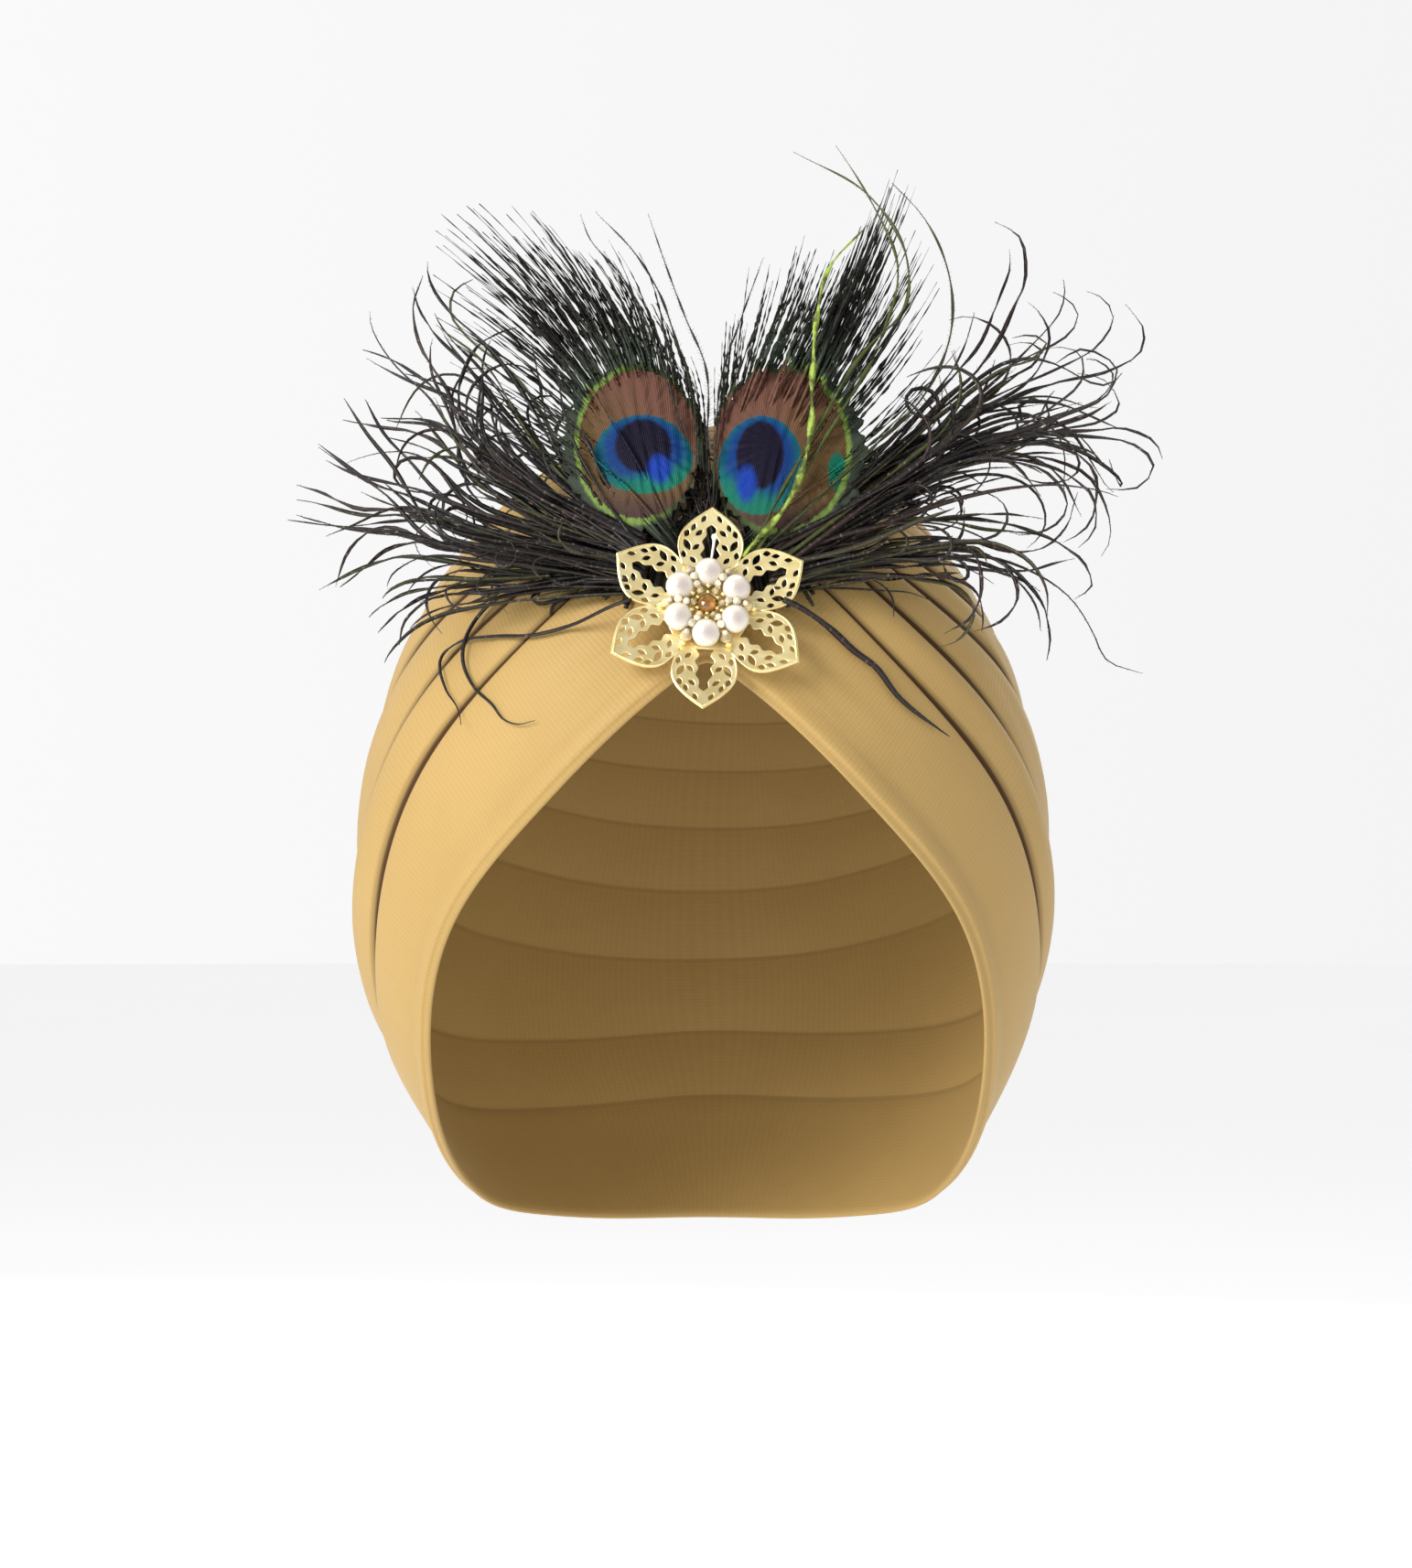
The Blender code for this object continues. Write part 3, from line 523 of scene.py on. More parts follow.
def cloth_finish(sizes):
    """Camel stretch knit: fine ribs up the cloth, painted shade down in the folds and under their lips, a
    soft nap.
    """
    made = Finish("camel_knit", Sheen_Weight=0.05, Sheen_Roughness=0.4, Specular_IOR_Level=0.3)
    made.set(Sheen_Tint=(1.0, 0.90, 0.72))
    around, along, _ = made.parts(made.node("ShaderNodeUVMap", {"uv_map": "UVMap"}))
    painted_light = made.attribute("painted_light")
    slow = made.noise(28.0, 2.0)
    fine = made.noise(900.0, 2.0)
    rib = (around * (math.tau * sizes.ribs) + slow * 2.0).sine()
    stitch = (along * (math.tau * sizes.stitches)).sine()
    pile = rib * 0.5 * painted_light + stitch * 0.2 + fine * 0.5
    # Painted shade: the cloth darkens to a dim copy of its colour as the painted light drops below one, and
    # to the fold shade where it falls to nothing, in the grooves and under the lips
    painted_dim = tuple(0.66 * part for part in sizes.colour)
    colour = made.mix(slow.step(0.35, 0.7) * 0.3, sizes.colour, (0.490, 0.320, 0.118))
    colour = made.mix(painted_light.step(0.35, 1.0), painted_dim, colour)
    colour = made.mix(painted_light.step(0.0, 0.40), sizes.shade, colour)
    colour = made.mix(pile.step(-0.6, 0.9) * 0.10, colour, (0.45, 0.32, 0.14), "MULTIPLY")
    made.set(Base_Color=colour, Roughness=0.9 - painted_light * 0.35 + fine * 0.10)
    made.bump(pile, 0.07 * MM, 0.5)
    return made.material


def gold_finish(sizes):
    """Stamped gold plate: pale, slightly rippled, with duller patches."""
    made = Finish("stamped_gold", Metallic=1.0)
    patch = made.noise(240.0, 3.0)
    grain = made.noise(1600.0, 2.0)
    colour = made.mix(patch.step(0.35, 0.7) * 0.5, sizes.gold, (0.97, 0.89, 0.58))
    made.set(Base_Color=colour, Roughness=0.30 + patch * 0.14)
    made.bump(patch * 0.4 + grain * 0.3, 0.02 * MM, 0.5)
    return made.material


def pearl_finish(sizes):
    """Cream pearl: a soft body under a clear coat, a faint rose and green drift, and a painted grey
    reflection on its front.
    """
    made = Finish("pearl_lustre", Coat_Weight=0.8, Coat_Roughness=0.06, Subsurface_Weight=0.15)
    made.set(Subsurface_Radius=(0.004, 0.003, 0.002), Subsurface_Scale=0.3)
    drift = made.noise(260.0, 2.0)
    colour = made.mix(drift.step(0.4, 0.65) * 0.5, sizes.lustre, (0.690, 0.580, 0.520))
    # Painted reflection: the depth attribute greys the side of the pearl that faces out and a little down
    colour = made.mix(made.attribute("depth") * 0.75, colour, (0.330, 0.270, 0.260))
    made.set(Base_Color=colour, Roughness=0.22 + drift * 0.1)
    return made.material


def crystal_finish(name, colour, see_through):
    """Cut crystal: clear and sharp, its colour deeper in patches."""
    made = Finish(name, Transmission_Weight=see_through, IOR=1.6, Coat_Weight=0.5, Coat_Roughness=0.02)
    depth = made.noise(420.0, 1.0)
    deep = tuple(0.5 * part for part in colour)
    made.set(Base_Color=made.mix(depth.step(0.35, 0.65), deep, colour), Roughness=0.05 + depth * 0.04)
    return made.material


def steel_finish():
    """Plain pin steel with fine marks along it."""
    made = Finish("pin_steel", Metallic=1.0)
    marks = made.noise(700.0, 3.0, stretch=(1.0, 0.15, 1.0))
    colour = made.mix(marks, (0.40, 0.40, 0.41), (0.62, 0.62, 0.63))
    made.set(Base_Color=colour, Roughness=0.3 + marks * 0.15)
    made.bump(marks, 0.04 * MM)
    return made.material


def quill_finish():
    """Pale bare quill."""
    made = Finish("quill_horn", Coat_Weight=0.2)
    streak = made.noise(500.0, 2.0)
    colour = made.mix(streak, (0.80, 0.74, 0.62), (0.93, 0.90, 0.84))
    made.set(Base_Color=colour, Roughness=0.35 + streak * 0.1)
    return made.material


def herl_finish(name, sizes):
    """Twisted herl: brown black with olive and rust tones, and painted pale highlights that come and go
    along each strand where it twists.
    """
    made = Finish(name, Specular_IOR_Level=0.4)
    tone = made.attribute("tone")
    along = made.attribute("along")
    green = made.attribute("green")
    turns = (along * 170.0 + tone * 40.0).sine()
    mottle = made.noise(320.0, 2.0)
    glint = made.noise(900.0, 1.0)
    rust = (0.042, 0.020, 0.016)
    colour = made.mix(tone.step(0.4, 1.0) * 0.5, sizes.herl, rust)
    colour = made.mix(green * (0.10 + mottle * 0.9), colour, sizes.olive)
    colour = made.mix(green.step(1.0, 1.5) * mottle.step(0.40, 0.56), colour, (0.330, 0.450, 0.070))
    # Painted highlight: pale grey glints in patches where the strand's twist turns it up
    colour = made.mix(turns.step(0.5, 1.0) * glint.step(0.5, 0.75) * 0.6, colour, (0.22, 0.18, 0.16))
    made.set(Base_Color=colour, Roughness=0.36 + mottle * 0.25)
    made.bump(turns * 0.5 + mottle, 0.08 * MM, 0.5)
    return made.material


def vane_finish(sizes, second):
    """Eye feather: a bronze oval with a gold-green rim, and in it a heart that runs from teal through
    blue to a violet core. All of it is combed by fine barbs that fan out from the root. Second is how
    strongly a small teal bit shows at the oval's outer edge."""
    made = Finish("peacock_vane", Specular_IOR_Level=0.18)
    ox, oy, comb = made.parts(made.attribute("oval", "Vector"))
    hx, hy, _ = made.parts(made.attribute("heart", "Vector"))
    tone = made.attribute("tone")
    ragged = (made.noise(520.0, 2.0) - 0.5) * 0.07
    barb = (comb * 900.0 + tone * 6.0).sine()
    oval = (ox * ox + oy * oy) ** 0.5 + ragged
    heart = (hx * hx + hy * hy) ** 0.5 + ragged
    core = (hx * hx * 2.4 + (hy - 0.18) * (hy - 0.18) * 1.65) ** 0.5 + ragged
    tongue = ((hx + 0.32) * (hx + 0.32) * 9.0 + (hy + 0.38) * (hy + 0.38) * 4.0) ** 0.5 + ragged
    outside = made.mix(oval.step(1.10, 1.9), (0.052, 0.066, 0.046), (0.014, 0.011, 0.009))
    outside = made.mix(tone.step(0.5, 1.0) * 0.5, outside, (0.052, 0.066, 0.046))
    outside = made.mix((0.0 - ox).step(0.1, 0.8), outside, (0.016, 0.016, 0.011))
    rim = made.mix((ox - oy * 0.3).step(-0.5, 0.6), (0.035, 0.045, 0.018), (0.200, 0.310, 0.065))
    bronze = made.mix((oy - ox * 0.6).step(-0.6, 0.9), (0.120, 0.070, 0.026), sizes.bronze)
    bronze = made.mix(oy.step(-0.55, -0.95), bronze, (0.065, 0.034, 0.028))
    bit = (((ox - 0.86) * 6.0) ** 2 + ((oy + 0.30) * 3.6) ** 2) ** 0.5 + ragged * 4.0
    bronze = made.mix((1.0 - bit.step(0.7, 1.0)) * second, bronze, (0.004, 0.140, 0.085))
    colour = made.mix(oval.step(0.98, 1.01), bronze, rim)
    colour = made.mix(oval.step(1.045, 1.10), colour, outside)
    blues = made.mix((heart - hy * 0.15).step(0.66, 0.98), sizes.blue, sizes.teal)
    blues = made.mix((0.0 - hy - hx * 0.4).step(0.30, 0.85), blues, (0.004, 0.150, 0.095))
    blues = made.mix(core.step(0.80, 0.96), sizes.violet, blues)
    blues = made.mix(tongue.step(0.40, 0.95), (0.003, 0.036, 0.300), blues)
    colour = made.mix(heart.step(0.97, 1.01), blues, colour)
    colour = made.mix(barb.step(-0.2, 1.0) * 0.30, colour, (0.30, 0.28, 0.26), "MULTIPLY")
    made.set(Base_Color=colour, Roughness=0.42 + made.noise(500.0) * 0.2)
    made.bump(barb, 0.07 * MM, 0.6)
    return made.material


def floor_finish():
    """Pale matt floor with a barely seen mottle, which also glows white: painted light that brightens it and
    lights the hat a little from below.
    """
    made = Finish("pale_floor", Specular_IOR_Level=0.2)
    mottle = made.noise(3.0, 3.0)
    made.set(Base_Color=made.mix(mottle, (0.86, 0.86, 0.86), (0.90, 0.90, 0.90)), Roughness=0.85)
    # Painted light: the floor glows, though it is no lamp
    made.set(Emission_Color=(1.0, 1.0, 1.0), Emission_Strength=0.46)
    return made.material


def smooth_through(stops, values, where):
    """A cubic through the stops, whose slope at each one comes from its neighbours."""
    stops = np.asarray(stops, float)
    values = np.asarray(values, float)
    slopes = np.gradient(values, stops, axis=0)
    at = np.clip(np.searchsorted(stops, where, side="right") - 1, 0, len(stops) - 2)
    wide = stops[at + 1] - stops[at]
    t = (where - stops[at]) / wide
    if values.ndim > 1:
        wide = wide[..., None]
        t = t[..., None]
    return (
        (2 * t**3 - 3 * t**2 + 1) * values[at]
        + (t**3 - 2 * t**2 + t) * wide * slopes[at]
        + (3 * t**2 - 2 * t**3) * values[at + 1]
        + (t**3 - t**2) * wide * slopes[at + 1]
    )


def evenly_along(points, count):
    """A smooth line through the points, sampled at equal lengths."""
    points = np.asarray(points, float)
    stops = np.concatenate([[0], np.cumsum(np.linalg.norm(np.diff(points, axis=0), axis=1))])
    return smooth_through(stops, points, np.linspace(0, stops[-1], count))


def unit(vectors):
    """The same directions with a length of one."""
    return vectors / np.maximum(np.linalg.norm(vectors, axis=-1, keepdims=True), 1e-12)


def add_piece(name, points, faces, material, stands_for=(), values=None, vectors=None, smooth=True):
    """A mesh piece from arrays: its points, groups of faces with equal corners, and point values."""
    mesh = bpy.data.meshes.new(name)
    corners = np.concatenate([group.ravel() for group in faces]).astype(np.int32)
    sizes = np.concatenate([np.full(len(group), group.shape[1]) for group in faces])
    starts = np.concatenate([[0], np.cumsum(sizes)[:-1]]).astype(np.int32)
    mesh.vertices.add(len(points))
    mesh.vertices.foreach_set("co", points.astype(np.float32).ravel())
    mesh.loops.add(len(corners))
    mesh.loops.foreach_set("vertex_index", corners)
    mesh.polygons.add(len(sizes))
    mesh.polygons.foreach_set("loop_start", starts)
    mesh.update(calc_edges=True)
    mesh.validate()
    for key, value in (values or {}).items():
        layer = mesh.attributes.new(key, "FLOAT", "POINT")
        layer.data.foreach_set("value", value.astype(np.float32).ravel())
    for key, value in (vectors or {}).items():
        layer = mesh.attributes.new(key, "FLOAT_VECTOR", "POINT")
        layer.data.foreach_set("vector", value.astype(np.float32).ravel())
    if smooth:
        mesh.shade_smooth()
    mesh.materials.append(material)
    made = bpy.data.objects.new(name, mesh)
    bpy.context.scene.collection.objects.link(made)
    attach(made, "root")
    if stands_for:
        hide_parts(*stands_for)
    return made


def ring_faces(rings, around):
    """Four-cornered faces between closed rings of points."""
    ring, step = np.meshgrid(np.arange(rings - 1), np.arange(around), indexing="ij")
    after = (step + 1) % around
    low = ring * around
    high = low + around
    return np.stack([low + step, low + after, high + after, high + step], axis=-1).reshape(-1, 4)


def fold_edge(row, turn):
    """Share of the way up the cap of one fold's upper edge, eased over the middle of the front and back."""
    front, right_quarter, right_side, left_quarter, left_side, back = row[:6]
    right = smooth_through(FOLD_TURNS, (front, right_quarter, right_side, back), np.abs(turn))
    left = smooth_through(FOLD_TURNS, (front, left_quarter, left_side, back), np.abs(turn))
    return np.where(turn >= 0, right, left)


def eased_round(values, reach):
    """Values round a ring, each blended with its neighbours up to reach steps away."""
    steps = np.arange(-reach, reach + 1)
    weights = np.exp(-((steps / (reach * 0.5)) ** 2))
    return sum(w * np.roll(values, s) for w, s in zip(weights / weights.sum(), steps))


def cap_point(share, turn, rise, sizes, rim=None):
    """A point on the cap, from its share of the way up from the opening, its turn from the front in
    degrees and its rise over the inner side. The direction is (sin away sin turn, sin away cos turn,
    cos away), tilted back by the crown's tilt and stretched to the head's egg."""
    if rim is None:
        rim = smooth_through(*zip(*RIM_ROWS), np.abs(turn))
    away = np.radians(rim * (1 - share))
    turn = np.radians(turn)
    tilt = sizes.crown_tilt
    aside = np.sin(away) * np.sin(turn)
    ahead = np.sin(away) * np.cos(turn)
    along = np.cos(away)
    egg = np.stack(
        [
            aside,
            along * math.sin(tilt) - ahead * math.cos(tilt),
            along * math.cos(tilt) + ahead * math.sin(tilt),
        ],
        axis=-1,
    )
    half = np.array([sizes.half_width, sizes.half_depth, sizes.half_height])
    outward = unit(egg / half)
    hold = np.clip(share / 0.22, 0, 1)
    hold = hold * hold * (3 - 2 * hold)
    side = np.where(aside > 0, sizes.fullness_right, sizes.fullness_left)
    stand = sizes.ease + hold * side * np.abs(aside) ** 1.3
    stand = stand + hold * sizes.fullness_back * np.clip(egg[..., 1], 0, 1) ** 1.3
    base = egg * half - np.array([0, 0, sizes.half_height])
    return base + outward * (stand + rise)[..., None]


def eased_back(values, turn):
    """Values round the cap, blended widely over the nape and hardly at all over the brow."""
    hold = np.clip((np.abs(turn) - 110) / 50, 0, 1)
    return eased_round(values, 3) * (1 - hold) + eased_round(values, 24) * hold


def waves(turn, share, seed, count=7):
    """A gentle field round the cap, between about -1 and 1: a sum of sines that meet round the ring."""
    random = np.random.default_rng(seed)
    total = 0.0
    for _ in range(count):
        round_it = random.integers(1, 9)
        up_it = random.uniform(2, 16)
        total = total + np.sin(np.radians(turn) * round_it + share * up_it + random.uniform(0, math.tau))
    return total / count**0.5 * 0.7


def read_profile(table, weights, places):
    """A table of profile points as a smooth line, read at shares of its weighted length."""
    table = np.array(table)
    stops = np.concatenate([[0], np.cumsum(np.linalg.norm(np.diff(table * weights, axis=0), axis=1))])
    return smooth_through(stops, table, stops[-1] * places)


def inner_rows(edges):
    """Inside, from the crown's top down to the hem, with a shallow crease at each fold's edge."""
    flat = edges[0]
    # Painted shade: the inside gets less painted light than the outside
    rows = [
        (edges[-1] + (1 - edges[-1]) * step, flat, flat + 0.7) for step in np.linspace(1, 0, 10)[1:]]
    for low, high in zip(edges[-2::-1], edges[:0:-1]):
        lowest = low is flat
        for step in [*np.linspace(0.96, 0.04, 10 if lowest else 3), 0.0]:
            seam = step == 0 and not lowest
            # Painted shade: dimmer inside, and darker still at each crease
            light = 0.48 if seam else 0.75
            rows.append((low + (high - low) * step, flat + INNER_SEAM * seam, flat + light))
    return rows


def hem_rows(flat, sizes):
    """Round the opening's edge: a half circle from the inner side of the wall to the outer one."""
    rows = []
    for angle in np.radians(np.linspace(-60, 60, 5)):
        rise = sizes.wall * (0.5 + 0.5 * math.sin(angle))
        # Painted shade: the hem's colour is a little dimmed, at 0.8 of full painted light
        rows.append((flat - HEM_BULGE * math.cos(angle), flat + rise, flat + 0.8))
    return rows


def band_rows(turn, top, sizes):
    """The lowest band from its turned hem to the underside of its lip, gathered beneath the flower."""
    rows = []
    band_rise = FOLD_ROWS[0][6] * sizes.fold_rise
    middle = np.exp(-((turn / 20) ** 2))
    for step, hem, rise in read_profile(BAND_LIP, (6, 0.3, 1), np.linspace(0, 1, 46)):
        share = top * step
        hold = min(1.0, step * 4)
        swell = 0.35 * MM * waves(turn, share * 2, 11) * hold * (1 - step * 0.6)
        gather = 0.30 * MM * np.sin(share * 150 + turn * 0.05) * middle * hold
        height = sizes.wall + hem * sizes.hem_rise + rise * band_rise * (0.9 + 0.1 * waves(turn, share, 12))
        # Painted light for the colour: a little darker in the dip between the hem and the band, and painted
        # shade under the lip's roll
        light = 0.85 + 0.15 * min(1.0, rise + hem)
        beneath = step > 0.97 and rise < 0.75
        rows.append((share, height + swell + gather, 0 * turn + light * (not beneath)))
    return rows


def fold_rows(turn, edges, sizes):
    """Each fold from its foot over its highest point to the underside of its lip. Painted shade lies at the
    foot and under the lip; it is widest at the sides of the brow, where the folds are seen edge on, and
    narrow round the back."""
    side = np.abs(turn)
    arc = np.radians(smooth_through(*zip(*RIM_ROWS), side)) * sizes.half_height * 0.9
    # Painted shade down each groove: its width in millimetres round the cap, how far it fades up the fold,
    # and below what rise the lip's underside darkens
    dark = np.interp(side, (20, 45, 70, 110), (2.0, 3.0, 3.6, 0.6)) * MM
    fade = np.interp(side, (45, 75), (2.0, 3.4)) * MM
    shaded_rise = np.interp(side, (75, 110), (0.93, 0.60))
    pressed = 1 - 0.5 * np.exp(-((turn / 5.0) ** 2))
    lip = read_profile(FOLD_LIP, (2, 1), np.linspace(0, 1, 29) ** 1.25)
    crest_at = int(np.argmax(lip[:, 1]))
    rows = []
    for number, (low, high, row) in enumerate(zip(edges[1:-1], edges[2:], FOLD_ROWS[1:])):
        drift = 1 + 0.14 * waves(turn, low, 20 + number)
        wide = (high - low) * arc
        groove = dark * (0.55 if number == 0 else 1.0)
        for place, (step, rise) in enumerate(lip):
            share = low + (high - low) * step
            crease = 0.10 * waves(turn, share * 9, 40 + number) * math.sin(math.pi * min(1, max(0, step)))
            height = (rise * drift + crease) * row[6] * sizes.fold_rise * pressed
            # Painted shade: full over the groove's width from the fold's foot, fading up the fold, and again
            # on the lip's underside as it falls past its highest point
            light = np.clip((step * wide - groove) / fade, 0, 1)
            if place > crest_at:
                light = light * np.clip((rise - shaded_rise) / 0.16 + 0.5, 0, 1)
            rows.append((share, sizes.wall + height, light))
    return rows


def crown_rows(turn, top, sizes):
    """The plain dome above the last fold, which swells a little between its edge and its middle."""
    rows = []
    last = FOLD_ROWS[-1][6] * sizes.fold_rise
    for step in np.linspace(0, 1, 26)[:-1]:
        share = top + (1 - top) * step
        swell = 0.5 * MM * waves(turn, share * 1.5, 60) * math.sin(math.pi * step) ** 2
        rise = sizes.wall + last * (0.1 + 0.7 * math.sin(min(1, step * 3) * math.pi / 2))
        # Painted shade at the foot of the dome, just above the last fold's lip, gone within the first
        # twelfth of the way up
        rows.append((share, swell + rise, 0 * turn + min(1.0, step * 12)))
    return rows


def cloth_rows(turn, sizes):
    """The cloth's rings from the inner top of the crown down inside, round the hem and up outside over
    each fold and its lip. Each ring is its shares, its rises and how much painted light its colour gets: low
    for painted shade in the grooves, under the lips and inside."""
    flat = np.zeros(len(turn))
    edges = [flat] + [eased_back(fold_edge(row, turn), turn) for row in FOLD_ROWS]
    return [
        *inner_rows(edges),
        *hem_rows(flat, sizes),
        *band_rows(turn, edges[1], sizes),
        *fold_rows(turn, edges, sizes),
        *crown_rows(turn, edges[-1], sizes),
    ]


def build_cloth(sizes):
    """The wrapped cloth as one closed surface over (turn, ring), with a point at each pole."""
    around = sizes.around
    turn = np.arange(around) * 360.0 / around - 180.0
    rows = cloth_rows(turn, sizes)
    share, rise, painted_light = (np.array([row[i] for row in rows]) for i in range(3))
    rim = eased_back(smooth_through(*zip(*RIM_ROWS), np.abs(turn)), turn)
    points = cap_point(share, np.broadcast_to(turn, share.shape), rise, sizes, rim)
    top_rise = sizes.wall + FOLD_ROWS[-1][6] * sizes.fold_rise * 0.8
    poles = cap_point(np.ones(2), np.zeros(2), np.array([0.0, top_rise]), sizes)
    rings = len(rows)
    last = rings * around
    step = np.arange(around)
    after = (step + 1) % around
    inner = np.stack([after, step, np.full(around, last)], axis=1)
    outer = np.stack([step, after, np.full(around, last + 1)], axis=1)
    outer[:, :2] += (rings - 1) * around
    quads = ring_faces(rings, around)
    made = add_piece(
        "turban_cloth",
        np.concatenate([points.reshape(-1, 3), poles]),
        [quads, inner, outer],
        cloth_finish(sizes),
        ["turban_cap"],
        # Painted light at the poles: dimmer at the inner top of the crown, as painted shade, full on the
        # outer top
        values={"painted_light": np.concatenate([painted_light.ravel(), [0.7, 1.0]])},
    )
    corner = np.concatenate([group.ravel() for group in (quads, inner, outer)])
    seam = np.concatenate([
        np.repeat(quads[:, 0] % around == around - 1, 4),
        np.repeat(step == around - 1, 3),
        np.repeat(step == around - 1, 3),
    ])
    u, v = knit_map(points, np.argmin(np.abs(turn)))
    pole = corner >= last
    ring = np.minimum(corner // around, rings - 1)
    ring = np.where(corner == last, 0, ring)
    column = np.where(pole, around // 2, corner % around)
    column = np.where(seam & ~pole & (column == 0), around, column)
    layer = made.data.uv_layers.new(name="UVMap")
    layer.data.foreach_set(
        "uv", np.stack([u[ring, column], v[ring]], axis=1).astype(np.float32).ravel())
    return made


def knit_map(points, middle):
    """Where each point lies in the knit, whose ribs run square to the rings. The distance along a
    ring is measured from the front, and carries over to the next ring where it is met squarely."""
    ahead = np.roll(points, -1, axis=1)
    heading = unit(ahead - np.roll(points, 1, axis=1))
    rise = np.diff(points, axis=0)
    slip = np.einsum("ijk,ijk->ij", rise, heading[:-1])
    start = int(np.argmax(points[:, middle, 1] * -1))
    lengths = np.linalg.norm(ahead[start] - points[start], axis=1)
    total = lengths.sum()
    first = np.concatenate([[0], np.cumsum(lengths)[:-1]])
    first -= first[middle]
    carried = np.concatenate([np.zeros((1, points.shape[1])), np.cumsum(slip, axis=0)])
    u = first + carried - carried[start]
    u = np.concatenate([u, u[:, :1] + total], axis=1) / total
    v = np.concatenate([[0], np.cumsum(np.linalg.norm(rise, axis=2).mean(axis=1))])
    return u, v / v[-1]


def on_cloth(share, turn, sizes):
    """A point on the outside of the lowest band, and the direction that faces out of it."""
    at = np.array([share, share, share + 0.01])
    round_it = np.array([turn, turn + 1.0, turn])
    rise = sizes.wall + sizes.seat
    first, beside, above = cap_point(at, round_it, np.full(3, rise), sizes)
    outward = unit(np.cross(beside - first, above - first))
    return first, outward if outward[1] < 0 else -outward


def strands(lines, wide, thick, twist, facing, sides=3):
    """Closed tapered ribbons along many lines at once. A section is an ellipse, wide by thick, turned
    by the twist about the line from where it lies across the facing direction.
    Returns the points and the groups of faces."""
    count, steps, _ = lines.shape
    along = unit(np.gradient(lines, axis=1))
    across = unit(np.cross(along, facing))
    face = np.cross(across, along)
    cosine = np.cos(twist)[..., None]
    sine = np.sin(twist)[..., None]
    flat = across * cosine + face * sine
    deep = face * cosine - across * sine
    angle = np.arange(sides) * math.tau / sides
    points = (
        lines[:, :, None]
        + flat[:, :, None] * (wide[..., None] / 2 * np.cos(angle))[..., None]
        + deep[:, :, None] * (thick[..., None] / 2 * np.sin(angle))[..., None]
    )
    first = np.arange(count)[:, None, None] * steps * sides
    body = first + ring_faces(steps, sides)[None]
    order = np.arange(sides)
    near = np.arange(count)[:, None] * steps * sides + order[::-1]
    far = np.arange(count)[:, None] * steps * sides + (steps - 1) * sides + order
    return points.reshape(-1, 3), [body.reshape(-1, 4), near, far]


def spread_values(values, sides):
    """A value for each strand and step, repeated for the corners of its section."""
    return np.repeat(values[..., None], sides, axis=-1).ravel()


def joined(meshes):
    """Several (points, faces) as one, their faces grouped by how many corners they have."""
    points = np.concatenate([mesh[0] for mesh in meshes])
    groups = {}
    start = 0
    for found, faces in meshes:
        for group in faces:
            groups.setdefault(group.shape[1], []).append(group + start)
        start += len(found)
    return points, [np.concatenate(groups[corners]) for corners in sorted(groups)]


class Fan:
    """The plane of the feather fan: its root on the cloth, and its side, up and out directions"""

    def __init__(self, cloth, feather):
        self.reach = feather.reach
        self.axes = np.array(
            [
                [1.0, 0.0, 0.0],
                [0.0, math.sin(feather.lean), math.cos(feather.lean)],
                [0.0, -math.cos(feather.lean), math.sin(feather.lean)],
            ]
        )
        self.out = self.axes[2]
        foot, _ = on_cloth(feather.foot, 0.0, cloth)
        self.root = foot + self.out * feather.forward

    def point(self, side, up, out):
        """World points from shares of the reach."""
        return self.root + np.stack([side, up, out], axis=-1) @ self.axes * self.reach

    def over_cloth(self, points, clear, hold):
        """The same points moved along Y, by the share that hold gives, to lie just off the front of
        the cloth: the foremost of the cloth's points near each one counts."""
        mesh = bpy.data.objects["turban_cloth"].data
        skin = np.zeros(len(mesh.vertices) * 3, np.float32)
        mesh.vertices.foreach_get("co", skin)
        skin = skin.reshape(-1, 3)
        skin = skin[skin[:, 1] < 0]
        flat = points.reshape(-1, 3)
        away = np.hypot(flat[:, None, 0] - skin[None, :, 0], flat[:, None, 2] - skin[None, :, 2])
        depth = np.where(away < 2.2 * MM, skin[None, :, 1], 1.0).min(axis=1)
        near = skin[away.argmin(axis=1), 1]
        front = np.where(depth < 1.0, depth, near).reshape(points.shape[:-1]) - clear
        steps = (-2, -1, 0, 1, 2)
        front = np.minimum(front, sum(np.roll(front, step, axis=1) for step in steps) / len(steps))
        moved = points.copy()
        moved[..., 1] += (front - moved[..., 1]) * hold
        return moved


